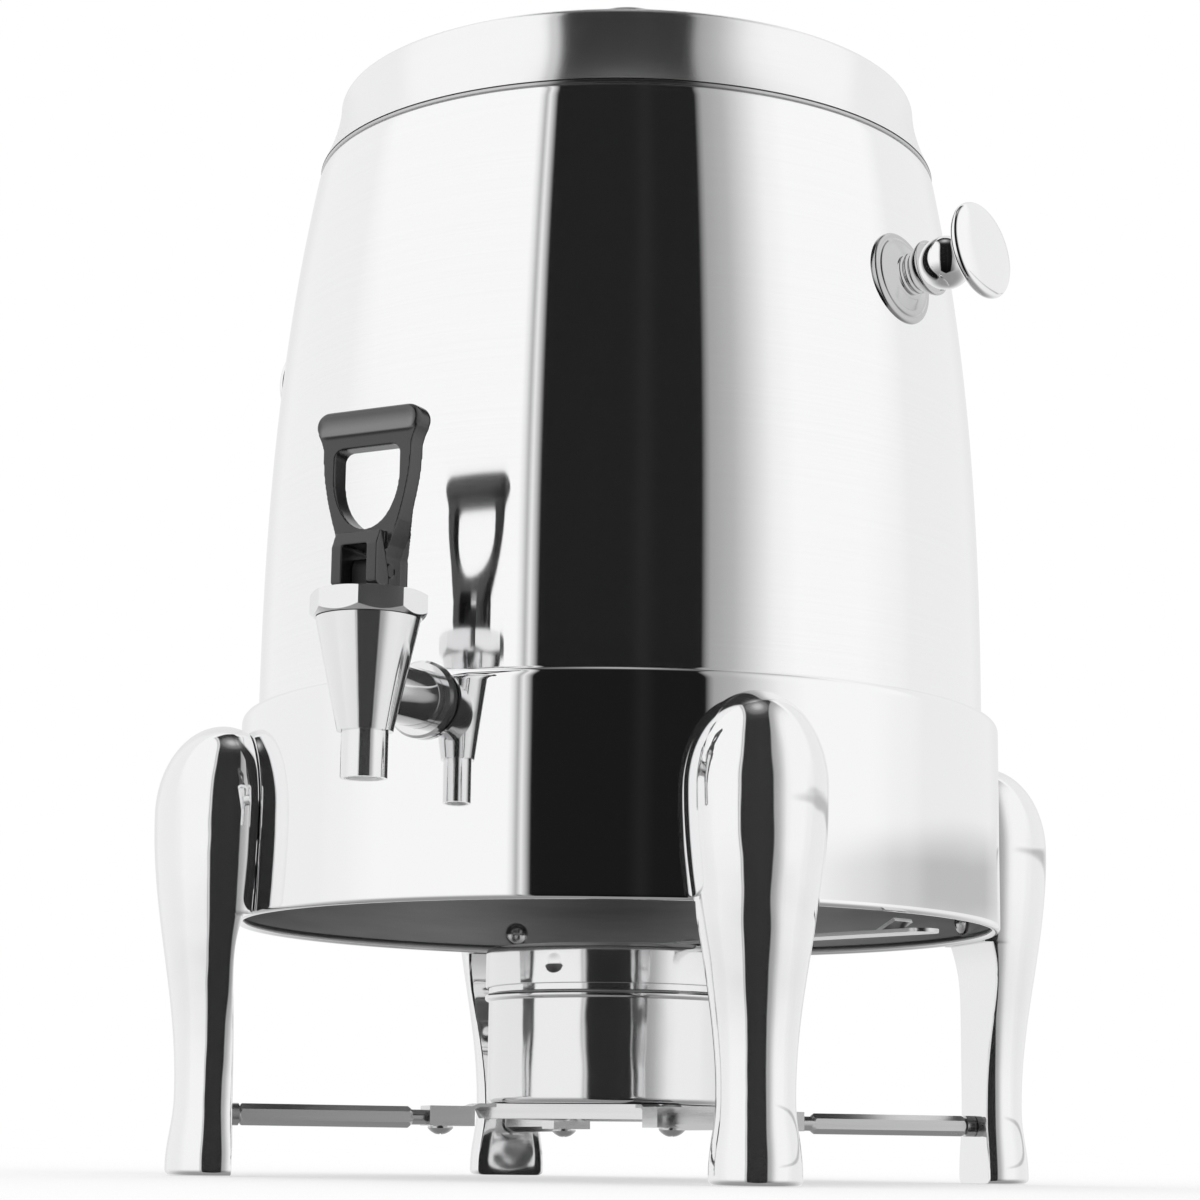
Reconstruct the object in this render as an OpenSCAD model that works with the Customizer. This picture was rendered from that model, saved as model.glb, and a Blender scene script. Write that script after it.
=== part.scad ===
// Coffee urn on four legs: a double-walled body with a lift-off lid, a self-closing tap, side knobs,
// and a fuel cup that stands on a burner plate between the legs.
// Lengths are millimetres and angles are degrees. Z is the urn's axis, the table is Z = 0, and the tap
// stands on the -Y side. A bearing is counted from -Y towards +X.

/* [Skirt] */
// How far the skirt stands out beyond the shell's foot
skirt_out = 5.8; // [5:0.1:9]
// Height of the skirt's lower rim above the table
skirt_low = 87; // [84:1:110]
// Height of the skirt, from its lower rim to its top face
skirt_h = 74.5; // [70:0.5:90]
// Sheet thickness of the skirt
skirt_wall = 1.2; // [0.8:0.1:2]
// Radius of the rounded shoulder at the skirt's top
skirt_shoulder = 4; // [3:0.5:6]
// Width of the flat ledge that the shell stands on
ledge_w = 13; // [8:1:15]
// Radius of the rolled bead along the lower rim
bead_r = 1.6; // [1.4:0.1:2.4]

/* [Shell] */
// Outer radius of the shell where it stands on the skirt
shell_foot_r = 130.2; // [126:0.2:131]
// Height of the shell
shell_h = 202.5; // [160:2.5:260]
// How far the shell draws in by its top edge
shell_draw = 15.8; // [8:0.2:18]
// How late the shell starts to draw in
shell_bow = 2.5; // [1.5:0.05:3]
// Sheet thickness of the shell
shell_wall = 1; // [0.6:0.1:2]

/* [Tank] */
// Gap between the tank and the shell's top edge
tank_gap = 2.6; // [2:0.2:6]
// Sheet thickness of the tank
tank_wall = 1; // [0.6:0.1:2]
// Height of the tank's underside above the table
tank_low = 125; // [122:1:132]
// Radius of the tank's bottom corner
tank_corner = 12; // [4:1:14]
// Thickness of the tank's rim, which lies on the shell's top edge
rim_t = 1.2; // [0.8:0.1:2]

/* [Lid] */
// Sheet thickness of the lid
lid_wall = 1; // [0.6:0.1:2]
// How far the lid's wall flares out to its lower edge
lid_flare = 7; // [4:0.1:9]
// Height of the flared wall
lid_flare_h = 25.4; // [16:0.2:32]
// Radius of the lid's rounded shoulder
lid_shoulder = 3.2; // [2:0.2:6]
// Height of the crown's middle above the start of the shoulder
lid_crown = 6.4; // [6.2:0.2:20]
// Depth of the ring that locates the lid in the tank
lid_ring_h = 10; // [6:1:16]
// Thickness of the locating ring
lid_ring_wall = 1; // [0.8:0.1:2]
// Play between the locating ring and the tank
lid_play = 0.8; // [0.5:0.1:2]

/* [Knobs] */
// Radius of a knob's disc
knob_disc_r = 17; // [14:0.5:20]
// Thickness of a knob's disc
knob_disc_t = 5; // [4:0.5:7]
// Length of a knob from the sheet to its face
knob_len = 36; // [34:0.5:44]
// Radius of a knob's ball
ball_r = 9.2; // [8.4:0.1:9.4]
// Distance of the ball's centre from the sheet
ball_at = 19; // [18.4:0.2:19.6]
// Radius of the neck between ball and disc
neck_r = 5.6; // [4.5:0.1:6.5]
// Radius of the cup-shaped collar under the ball
collar_r = 9.8; // [9.6:0.1:12]
// Distance of the collar's rim from the sheet
collar_at = 13.4; // [13:0.1:13.8]
// Radius of the rosette under a knob
rosette_r = 16.4; // [13:0.2:20]
// Height of the rosette
rosette_h = 4; // [3:0.2:5]
// Radius of the stud that holds a knob
stud_r = 3; // [2:0.25:3.5]
// Height of the side knobs above the table
side_knob_z = 307; // [240:1:340]
// Bearing of the right-hand side knob
side_knob_bearing = 78; // [60:1:120]
// Angle from the right-hand to the left-hand side knob
side_knob_spread = 184; // [172:1:188]

/* [Legs] */
// Distance of the legs' axes outside the skirt
leg_out = 8; // [7:0.5:10]
// Height of a leg
leg_top = 153; // [145:1:160]
// Radius of a leg at its fullest
leg_full_r = 22.8; // [20:0.2:25]
// Height at which a leg is fullest
leg_full_z = 122; // [114:1:130]
// Radius of a leg at its waist
leg_waist_r = 12.4; // [11:0.2:14]
// Height of the waist
leg_waist_z = 26; // [22:1:34]
// Radius of a leg at its foot
leg_foot_r = 14.6; // [13.8:0.1:16]
// Radius of the foot's rounded edge
leg_foot_edge = 2; // [1:0.5:3]
// Distance of a leg's flat back outside the skirt
leg_back_out = 2.2; // [1.6:0.2:3.4]
// How far the flat back bows away from the axis
leg_bow = 2.4; // [1:0.2:3.4]
// How high up the back that bow sits
leg_bow_rise = 3.5; // [1:0.1:4]

/* [Fasteners] */
// Radius of the machine screws
screw_r = 2.5; // [2:0.25:3]
// Radius of their pan heads
head_r = 4.4; // [4:0.1:5.4]
// Height of their pan heads
head_h = 2.8; // [2:0.1:3.5]
// Gap between the skirt's bead and the heads of the lower leg screws
leg_screw_gap = 0.4; // [0.2:0.1:4]
// Distance between the two screws of a leg
leg_screw_step = 38; // [25:1:44]

/* [Burner stand] */
// Height of the arms' axis above the table
arm_z = 20.5; // [19:0.5:26]
// Width of an arm's hexagonal bar across its flats
bar_af = 6.4; // [5.8:0.2:8]
// Distance of the bar's inner end from the urn's axis
bar_in = 73.5; // [72.5:0.5:84]
// Radius of the neck between bar and lug
bar_neck_r = 2.6; // [2:0.1:2.7]
// Distance of a lug's outer end from the urn's axis
lug_out = 69; // [68:0.5:71]
// Length of a lug
lug_l = 16; // [12:0.5:16]
// Width of a lug
lug_w = 14; // [11:0.5:16]
// Thickness of a lug
lug_t = 5.6; // [5:0.1:7]
// Distance of the arm screws from the urn's axis
arm_screw_at = 63.5; // [60:0.5:65]
// Length of the nut that locks an arm against its leg
lock_l = 3.5; // [3:0.5:6]
// How far an arm's end reaches into its leg
arm_grip = 8; // [5:1:10]
// Width of the square burner plate
plate_w = 74; // [64:1:74]
// Sheet thickness of the burner plate
plate_t = 1.2; // [1:0.1:1.6]
// Height of the burner plate's turned-down edges
flange_h = 5; // [3:0.5:7]
// Size of the corners cut off those edges
flange_cut = 3; // [1.5:0.5:3]
// Distance between the turned-down edges and the plate's corners
flange_relief = 2; // [1.5:0.5:6]
// How far the plate stands above its ears
ear_drop = 1; // [0.5:0.1:1.5]

/* [Fuel cup] */
// Outer radius of the fuel cup
cup_r = 45.4; // [42:0.2:47]
// Sheet thickness of the cup and its cap
cup_wall = 1; // [0.6:0.1:1.4]
// Height of the fuel cup
cup_h = 53.2; // [48:0.4:54]
// Radius of the bead around the cup
cup_bead = 1.4; // [1:0.1:2]
// Height of the bead's middle above the cup's bottom
cup_bead_at = 36.9; // [33:0.1:37.5]
// Height of the cap's side
cap_h = 14; // [10:0.5:14]
// Radius of the flame opening in the cap
flame_r = 20; // [14:1:22]
// How far the shutter laps over the flame opening
shutter_lap = 4; // [2:1:6]
// Thickness of the shutter and its strip
shutter_t = 1.2; // [0.8:0.1:1.4]
// Width of the strip
strip_w = 12; // [8:1:16]
// How far the strip reaches beyond the skirt
strip_out = 10; // [4:1:20]
// Bearing of the strip with the flame opening shut
strip_bearing = 72; // [60:1:84]
// Distance of the rivet inside the cup's side
rivet_in = 8.4; // [7.4:0.1:12]
// Radius of the rivet
rivet_r = 2.4; // [2:0.1:3]
// Radius of the dimples in the cap's side
dimple_r = 3.5; // [2.5:0.1:4.5]

/* [Tap body] */
// Height of the tap's shank above the table
tap_z = 151.2; // [149:0.2:151.2]
// Distance of the tap's upright axis in front of the skirt
tap_reach = 34.4; // [32:0.4:48]
// Radius of the cone at its top
cone_top_r = 16.4; // [15.8:0.1:16.8]
// Radius of the cone at its bottom
cone_low_r = 8.8; // [8.2:0.1:9.2]
// Height of the cone's top above the shank's axis
cone_up = 20.6; // [19:0.2:26]
// Depth of the cone's bottom below the shank's axis
cone_down = 14.8; // [12:0.2:16]
// Radius of the spout
spout_r = 7.4; // [7:0.1:8]
// Length of the spout
spout_l = 14.6; // [10:0.2:24]
// Radius of the spout's bore
spout_bore = 5.4; // [4:0.1:5.6]
// Radius of the shank outside the skirt
shank_r = 9.6; // [9:0.1:10.4]
// Radius of the shank's threaded end
thread_r = 6; // [5.6:0.1:6]
// Radius of the shank's bore
shank_bore = 4.2; // [3.4:0.1:4.6]
// Radius of the threaded neck under the bonnet nut
neck_thread_r = 14; // [13.4:0.1:14.6]
// Height of that neck
neck_thread_h = 4.8; // [3:0.2:5]
// Radius of the valve chamber at its top
chamber_r = 12; // [11:0.1:12.4]
// Height of the valve seat above the cone's bottom
seat_up = 3.5; // [3:0.5:5]
// Radius of the ring between shank and skirt
tap_ring_r = 12.6; // [11.6:0.1:14]
// Thickness of that ring
tap_ring_t = 3; // [2:0.5:5]
// Thickness of the seal inside the tank
seal_t = 2; // [1:0.5:3]
// Width of the lock nut across its flats
lock_nut_af = 20; // [18:0.5:24]
// Thickness of the lock nut
lock_nut_t = 5; // [4:0.5:7]

/* [Tap bonnet and valve] */
// Width of the eight-sided bonnet nut across its flats
bonnet_af = 34.6; // [34.4:0.2:38]
// Height of the bonnet nut
bonnet_h = 8; // [7.8:0.1:11]
// Thickness of the bonnet nut's top
bonnet_top_t = 2.5; // [2:0.1:2.7]
// Radius of the valve stem
stem_r = 4; // [3.4:0.1:4.2]
// Radius of the stem's collar
stem_collar_r = 8; // [7.4:0.1:8.5]
// Thickness of the stem's collar
stem_collar_t = 2; // [1.5:0.1:3]
// Length of the spring with the tap shut
spring_l = 15; // [12:0.5:16]
// Mean radius of the spring
spring_r = 6; // [5.6:0.1:6.6]
// Radius of the spring's wire
wire_r = 0.6; // [0.4:0.1:0.8]
// Turns of the spring
spring_turns = 5; // [3:1:6]
// Radius of the rubber seat cup
seat_cup_r = 6.4; // [6.1:0.1:6.6]
// Height of the rubber seat cup
seat_cup_h = 13; // [10:0.5:15]
// Radius of the stem's tail in the seat cup
tail_r = 3; // [2.4:0.1:3.2]

/* [Tap handle] */
// Height of the handle's pin above the bonnet nut
pin_up = 6.5; // [6:0.1:7.5]
// Radius of the handle's pin
pin_r = 2; // [1.6:0.1:2.2]
// How far the stem rises for each radian that the handle tilts
cam_rate = 4.5; // [3.5:0.1:5]
// Largest tilt of the handle
tilt_max = 40; // [30:1:45]
// Width of the handle's fork
fork_w = 16.6; // [15:0.2:20]
// Height of the fork above the pin
fork_up = 12; // [11:0.5:15]
// Width of the slot between the fork's cheeks
fork_slot = 9; // [8.9:0.1:10]
// Height of the slot above the pin
slot_up = 7.6; // [7:0.1:9]
// Height of the loop between the fork and the grip
loop_h = 31.4; // [26:0.2:38]
// Width of the loop where it leaves the fork
loop_foot = 22; // [18:0.2:24]
// Width of the loop under the grip
loop_w = 32.6; // [28:0.2:36]
// Width of each side of the loop
loop_side = 4.2; // [3.4:0.1:5]
// Height of the bar that closes the loop under the grip
loop_bar = 3.4; // [2:0.1:4]
// Depth of the loop, front to back
loop_d = 7.2; // [6:0.2:9]
// Length of the grip
grip_l = 38.4; // [36.4:0.2:50]
// Height of the grip
grip_h = 9.2; // [8:0.2:12]
// Depth of the grip, front to back
grip_d = 9.6; // [8:0.2:12]

/* [Fits] */
// Gap between pieces that are seated on each other
seat_gap = 0.2; // [0.1:0.05:0.3]
// Gap at rest between pieces that move apart
move_gap = 0.3; // [0.2:0.05:0.4]
// Radial clearance of screws, studs, pins and the stem
run_gap = 0.06; // [0.03:0.01:0.1]

/* [Hidden] */

$fn = 72;
steel = "silver";
dark_steel = "gray";
plastic = "dimgray";
rubber = "black";
cut = 1;                 // how far a cutting solid overshoots the face it cuts
steps = 24;              // straight stretches in a long curve
arc_steps = 8;           // straight stretches in a fillet

leg_bearings = [45, 135, 225, 315];
skirt_r = shell_foot_r + skirt_out;
leg_ring_r = skirt_r + leg_out;
leg_back = skirt_r + leg_back_out;
strip_reach = skirt_r + strip_out;
left_knob_bearing = side_knob_bearing + side_knob_spread;
leg_screw_z = skirt_low + 2 * bead_r + leg_screw_gap + head_r;
shell_low = skirt_low + skirt_h;
shell_top = shell_low + shell_h;
shell_top_r = shell_foot_r - shell_draw;
tank_r = shell_top_r - shell_wall - tank_gap;
tank_in_r = tank_r - tank_wall;
rim_z = shell_top + rim_t;
lid_low = rim_z + move_gap;
lid_wall_r = shell_top_r - lid_flare;
lid_arc_z = lid_low + lid_flare_h;
lid_arc_r = lid_wall_r - lid_shoulder;
// The crown's arc is tangent to the shoulder's arc, which fixes its radius.
crown_r = (pow(lid_arc_r, 2) + pow(lid_crown, 2) - pow(lid_shoulder, 2)) / (2 * (lid_crown - lid_shoulder));
crown_z = lid_arc_z + lid_crown;
crown_angle = asin(lid_arc_r / (crown_r - lid_shoulder));

tap_y = -(skirt_r + tap_reach);
cone_top_z = tap_z + cone_up;
cone_low_z = tap_z - cone_down;
seat_z = cone_low_z + seat_up;
bonnet_low = cone_top_z + seat_gap;
bonnet_top = bonnet_low + bonnet_h;
bonnet_under = bonnet_top - bonnet_top_t;
pin_z = bonnet_top + pin_up;
collar_top = bonnet_under - spring_l;
heel = pin_up - move_gap;                       // from the pin down to the handle's flat foot
tilt_rad = tilt_max * PI / 180;
fork_half_d = (heel + cam_rate * tilt_rad) * sin(tilt_max) + cam_rate * cos(tilt_max);
grip_z = fork_up + loop_h + grip_h / 2;         // above the pin
opening_low = 1.6;                              // the opening's ends above the fork, and its rounding
opening_top = loop_h - loop_bar;
opening_rise = 18;
opening_corner = 3;

lock_r = bar_af / 2 + 0.6;
// The lock nut's flat face meets the leg's sloping back at the nut's lower edge.
lock_face = leg_back_at(arm_z - lock_r) - seat_gap;
lug_top = arm_z + lug_t / 2;
ear_top = lug_top + plate_t;
plate_top = ear_top + ear_drop;
cup_low = plate_top + move_gap;
cup_top = cup_low + cup_h;
rivet_at = cup_r - rivet_in;
cap_under = cup_top + seat_gap;
cap_top = cap_under + cup_wall;
cap_r = cup_r + seat_gap + cup_wall;
shutter_z = cap_top + seat_gap;
strip_top = shutter_z + shutter_t;

// Puts children that were built on the -Y side on a bearing.
module at_bearing(angle) { rotate([0, 0, angle]) children(); }

// Turns children that stand up along Z so that they point away from the urn's axis.
module outward(tilt = 0) { rotate([90 - tilt, 0, 0]) children(); }

module turned(points) { rotate_extrude() polygon(points); }

function shell_r_at(z) = shell_foot_r - shell_draw * pow(max(0, (z - shell_low) / shell_h), shell_bow);
function shell_slope_at(z) =
    atan(shell_draw * shell_bow / shell_h * pow((z - shell_low) / shell_h, shell_bow - 1));
function arc(centre, radius, from, to, count = arc_steps) =
    [for (i = [0:count]) let (a = from + (to - from) * i / count) centre + radius * [cos(a), sin(a)]];
function reversed(list) = [for (i = [len(list) - 1:-1:0]) list[i]];
function ease(t) = (1 - cos(180 * t)) / 2;
function leg_back_at(z) = leg_back + leg_bow * sin(180 * pow(z / skirt_low, leg_bow_rise));

// ---------------------------------------------------------------- skirt, shell and tank

module skirt_band() {
    top = shell_low;
    in = skirt_wall;
    centre = [skirt_r - skirt_shoulder, top - skirt_shoulder];
    outer = concat([[skirt_r, skirt_low + bead_r]], arc(centre, skirt_shoulder, 0, 90));
    inner = concat(arc(centre, skirt_shoulder - in, 90, 0), [[skirt_r - in, skirt_low + bead_r]]);
    ledge_r = skirt_r - skirt_shoulder - ledge_w;
    color(steel) difference() {
        union() {
            turned(concat(outer, [[ledge_r, top], [ledge_r, top - in]], inner));
            rotate_extrude() translate([skirt_r - bead_r, skirt_low + bead_r]) circle(bead_r, $fn = 32);
        }
        for (bearing = leg_bearings, row = [0, 1])
            at_bearing(bearing) leg_screw_axis(row) cylinder(r = screw_r + run_gap, h = 4 * skirt_wall + 2 * cut,
                                                             center = true);
        translate([0, -skirt_r, tap_z]) outward()
            cylinder(r = thread_r + seat_gap, h = 4 * skirt_wall + 2 * cut, center = true);
    }
}

// Puts children on the skirt's face at one of a leg's two screws, pointing outwards.
module leg_screw_axis(row) {
    translate([0, -skirt_r + skirt_wall, leg_screw_z + row * leg_screw_step]) outward() children();
}

function shell_outline(inset = 0) =
    [for (i = [0:steps]) let (z = shell_low + shell_h * i / steps) [shell_r_at(z) - inset, z]];

module side_knob_axis(bearing) {
    at_bearing(bearing) translate([0, -shell_r_at(side_knob_z), side_knob_z])
        outward(shell_slope_at(side_knob_z)) children();
}

module outer_shell() {
    color(steel) difference() {
        turned(concat(shell_outline(), reversed(shell_outline(shell_wall))));
        for (bearing = [side_knob_bearing, left_knob_bearing])
            side_knob_axis(bearing)
                cylinder(r = stud_r + run_gap, h = 4 * shell_wall + 2 * cut, center = true);
    }
}

module water_tank() {
    low = tank_low;
    corner = [tank_r - tank_corner, low + tank_corner];
    outer = concat([[0, low]], arc(corner, tank_corner, -90, 0), [[tank_r, shell_top], [shell_top_r, shell_top]]);
    inner = concat([[shell_top_r, rim_z], [tank_in_r, rim_z]],
                   arc(corner, tank_corner - tank_wall, 0, -90), [[0, low + tank_wall]]);
    color(steel) difference() {
        turned(concat(outer, inner));
        translate([0, -tank_r, tap_z]) outward()
            cylinder(r = thread_r + seat_gap, h = 6 * tank_wall + 2 * cut, center = true);
    }
}

// ---------------------------------------------------------------- lid

function lid_flare_at(t) = lid_flare * pow(1 - t, 1.75);
function lid_outline(inset) = concat(
    [for (i = [0:arc_steps])
        let (t = i / arc_steps)
        [lid_wall_r - inset + lid_flare_at(t), lid_low + lid_flare_h * t]],
    arc([lid_arc_r, lid_arc_z], lid_shoulder - inset, 0, 90 - crown_angle),
    [for (i = [1:arc_steps])
        let (a = crown_angle * (1 - i / arc_steps))
        [(crown_r - inset) * sin(a), crown_z - crown_r + (crown_r - inset) * cos(a)]]);

module lid_cover() {
    color(steel) difference() {
        turned(concat(lid_outline(0), reversed(lid_outline(lid_wall))));
        translate([0, 0, crown_z]) cylinder(r = stud_r + run_gap, h = 4 * lid_wall + 2 * cut, center = true);
    }
}

module lid_locating_ring() {
    ring_r = tank_in_r - lid_play;
    // The ring's flange ends where the flaring wall is narrowest, at its upper face.
    edge_r = lid_wall_r - lid_wall - seat_gap + lid_flare_at(lid_ring_wall / lid_flare_h);
    in_r = ring_r - lid_ring_wall;
    color(steel) turned([
        [in_r, lid_low - lid_ring_h], [ring_r, lid_low - lid_ring_h], [ring_r, lid_low], [edge_r, lid_low],
        [edge_r, lid_low + lid_ring_wall], [in_r, lid_low + lid_ring_wall]
    ]);
}

module lid_knob_axis() { translate([0, 0, crown_z]) children(); }

// ---------------------------------------------------------------- knobs, built along Z from the sheet's face

collar_floor = collar_at - 1.8;
disc_back = knob_len - knob_disc_t;

module knob_piece() {
    tip_angle = asin((collar_floor + 0.3 - ball_at) / ball_r);
    neck_angle = acos(neck_r / ball_r);
    rim = knob_disc_t * 0.32;
    rim_end = 70;
    color(steel) difference() {
        turned(concat(
            [[0, collar_floor], [ball_r * cos(tip_angle), collar_floor]],
            arc([0, ball_at], ball_r, tip_angle, neck_angle, 2 * arc_steps),
            [[neck_r, disc_back - 1.4], [neck_r + 1, disc_back - 0.6], [neck_r + 3, disc_back - 0.2],
             [knob_disc_r * 0.82, disc_back + 0.5], [knob_disc_r - rim, disc_back + 0.4]],
            arc([knob_disc_r - rim, disc_back + 0.4 + rim], rim, -90, rim_end),
            [[knob_disc_r * 0.72, knob_len - 0.4], [knob_disc_r * 0.4, knob_len - 0.1], [0, knob_len]]));
        translate([0, 0, collar_floor - cut]) cylinder(r = stud_r + run_gap, h = cut + ball_at - collar_floor);
    }
}

module collar_piece() {
    color(steel) difference() {
        turned([
            [0, rosette_h], [7.4, rosette_h], [7.4, rosette_h + 1], [6.4, rosette_h + 1.4],
            [6.4, rosette_h + 2], [7.6, rosette_h + 2.4], [7.6, rosette_h + 3.2], [6.5, rosette_h + 3.6],
            [6.6, rosette_h + 4.2], [7.6, collar_at - 4], [8.9, collar_at - 2.6], [collar_r, collar_at - 0.8],
            [collar_r, collar_at], [collar_r - 0.9, collar_at], [collar_r - 0.9, collar_floor], [0, collar_floor]
        ]);
        translate([0, 0, rosette_h - cut]) cylinder(r = stud_r + run_gap, h = collar_floor - rosette_h + 2 * cut);
    }
}

module rosette_piece(back) {
    edge = rosette_r;
    difference() {
        turned([
            [0, back], [edge, back], [edge, 0.9], [edge - 0.8, 1.5], [edge - 2.1, 1.4], [edge - 2.8, 2.2],
            [edge - 4, 2.3], [9.6, rosette_h - 0.7], [8, rosette_h], [0, rosette_h]
        ]);
        translate([0, 0, back - cut]) cylinder(r = stud_r + run_gap, h = rosette_h - back + 2 * cut);
    }
}

module stud_piece(wall) {
    nut_t = 4.5;
    washer_t = 1;
    washer_at = -wall - seat_gap - washer_t;
    color(dark_steel) union() {
        translate([0, 0, washer_at - nut_t - 2]) cylinder(r = stud_r, h = 20 - washer_at);
        translate([0, 0, washer_at]) cylinder(r = 2.2 * stud_r, h = washer_t);
        translate([0, 0, washer_at - nut_t]) cylinder(r = 1.9 * stud_r, h = nut_t, $fn = 6);
    }
}

// The rosette's back is hollowed to the shell's curve.
module side_rosette(bearing) {
    far = shell_r_at(side_knob_z) / cos(shell_slope_at(side_knob_z));
    color(steel) side_knob_axis(bearing) difference() {
        rosette_piece(-2);
        translate([0, 0, -far]) rotate([90, 0, 0]) cylinder(r = far + seat_gap, h = 3 * rosette_r, center = true, $fn = 180);
    }
}

module lid_knob() { lid_knob_axis() knob_piece(); }
module lid_knob_collar() { lid_knob_axis() collar_piece(); }
module lid_knob_rosette() { color(steel) lid_knob_axis() rosette_piece(seat_gap); }
module lid_knob_stud() { lid_knob_axis() stud_piece(lid_wall); }
module knob_right() { side_knob_axis(side_knob_bearing) knob_piece(); }
module knob_collar_right() { side_knob_axis(side_knob_bearing) collar_piece(); }
module knob_rosette_right() { side_rosette(side_knob_bearing); }
module knob_stud_right() { side_knob_axis(side_knob_bearing) stud_piece(shell_wall); }
module knob_left() { side_knob_axis(left_knob_bearing) knob_piece(); }
module knob_collar_left() { side_knob_axis(left_knob_bearing) collar_piece(); }
module knob_rosette_left() { side_rosette(left_knob_bearing); }
module knob_stud_left() { side_knob_axis(left_knob_bearing) stud_piece(shell_wall); }

// ---------------------------------------------------------------- legs

function leg_outline() = concat(
    [[0, 0]],
    arc([leg_foot_r - leg_foot_edge, leg_foot_edge], leg_foot_edge, -90, 0, 4),
    [for (i = [1:arc_steps]) let (t = i / arc_steps)
        [leg_foot_r + (leg_waist_r - leg_foot_r) * ease(t),
         leg_foot_edge + 1 + (leg_waist_z - leg_foot_edge - 1) * t]],
    [for (i = [1:steps]) let (t = i / steps)
        [leg_waist_r + (leg_full_r - leg_waist_r) * ease(t), leg_waist_z + (leg_full_z - leg_waist_z) * t]],
    [for (i = [1:2 * arc_steps]) let (a = 90 * i / (2 * arc_steps))
        [leg_full_r * cos(a), leg_full_z + (leg_top - leg_full_z) * sin(a)]]);

// The side view of what is cut off a leg's back, from the urn's axis out.
function leg_back_outline() = concat(
    [[0, -cut], [leg_back, -cut]],
    [for (i = [0:steps]) let (t = i / steps) [leg_back_at(skirt_low * t), skirt_low * t]],
    [[skirt_r + seat_gap, skirt_low], [0, skirt_low]]);

module leg(bearing) {
    color(steel) at_bearing(bearing) difference() {
        translate([0, -leg_ring_r, 0]) turned(leg_outline());
        rotate([90, 0, -90]) linear_extrude(height = 3 * leg_full_r, center = true) polygon(leg_back_outline());
        translate([0, 0, skirt_low - cut]) cylinder(r = skirt_r + seat_gap, h = leg_top, $fn = 96);
        for (row = [0, 1]) leg_screw_axis(row) cylinder(r = screw_r + run_gap, h = 20);
        translate([0, -leg_back + cut, arm_z]) outward() cylinder(r = bar_neck_r + run_gap, h = arm_grip + 2 * cut);
    }
}

module leg_front_right() { leg(leg_bearings[0]); }
module leg_rear_right() { leg(leg_bearings[1]); }
module leg_rear_left() { leg(leg_bearings[2]); }
module leg_front_left() { leg(leg_bearings[3]); }

// A round-headed machine screw along Z, with its head's flat face at Z = 0 and its head below.
module pan_screw(length) {
    dome_h = head_h - 0.6;
    dome_r = (pow(head_r, 2) + pow(dome_h, 2)) / (2 * dome_h);
    difference() {
        union() {
            cylinder(r = screw_r, h = length);
            turned(concat(arc([0, dome_r - head_h], dome_r, -90, -acos(head_r / dome_r)), [[head_r, 0], [0, 0]]));
        }
        for (turn = [0, 90])
            rotate([0, 0, turn]) translate([-head_r / 2, -0.5, -head_h - cut]) cube([head_r, 1, cut + head_h * 0.6]);
    }
}

module leg_screws() {
    color(dark_steel) for (bearing = leg_bearings, row = [0, 1])
        at_bearing(bearing) leg_screw_axis(row) translate([0, 0, -seat_gap]) pan_screw(16);
}

// ---------------------------------------------------------------- burner stand

module arm(bearing) {
    bar_l = lock_face - lock_l - seat_gap - bar_in;
    hex_r = bar_af / sqrt(3);
    lug_in = lug_out - lug_l;
    color(steel) at_bearing(bearing) difference() {
        union() {
            translate([0, -bar_in, arm_z]) outward() intersection() {
                rotate([0, 0, 30]) cylinder(r = hex_r, h = bar_l, $fn = 6);
                turned([[0, 0], [hex_r - 1.4, 0], [hex_r + cut, 3], [hex_r + cut, bar_l - 2.4], [hex_r - 0.8, bar_l],
                        [0, bar_l]]);
            }
            translate([0, -bar_in - bar_l + cut, arm_z]) outward()
                cylinder(r = bar_neck_r, h = cut + leg_back + arm_grip - bar_in - bar_l);
            translate([0, -lug_out + cut, arm_z]) outward() cylinder(r = bar_neck_r, h = 2 * cut + bar_in - lug_out);
            translate([-lug_w / 2, -lug_out, arm_z - lug_t / 2]) cube([lug_w, lug_l, lug_t]);
        }
        translate([0, -arm_screw_at, arm_z - lug_t / 2 - cut]) cylinder(r = screw_r + run_gap, h = lug_t + 2 * cut);
    }
}

module arm_front_right() { arm(leg_bearings[0]); }
module arm_rear_right() { arm(leg_bearings[1]); }
module arm_rear_left() { arm(leg_bearings[2]); }
module arm_front_left() { arm(leg_bearings[3]); }

module arm_lock_nuts() {
    color(dark_steel) for (bearing = leg_bearings) at_bearing(bearing)
        translate([0, -lock_face + lock_l, arm_z]) outward() difference() {
            cylinder(r = lock_r, h = lock_l);
            translate([0, 0, -cut]) cylinder(r = bar_neck_r + run_gap, h = lock_l + 2 * cut);
        }
}

module arm_screws() {
    color(dark_steel) for (bearing = leg_bearings) at_bearing(bearing)
        translate([0, -arm_screw_at, lug_top - lug_t - seat_gap]) pan_screw(lug_t + plate_t + seat_gap);
}

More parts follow.
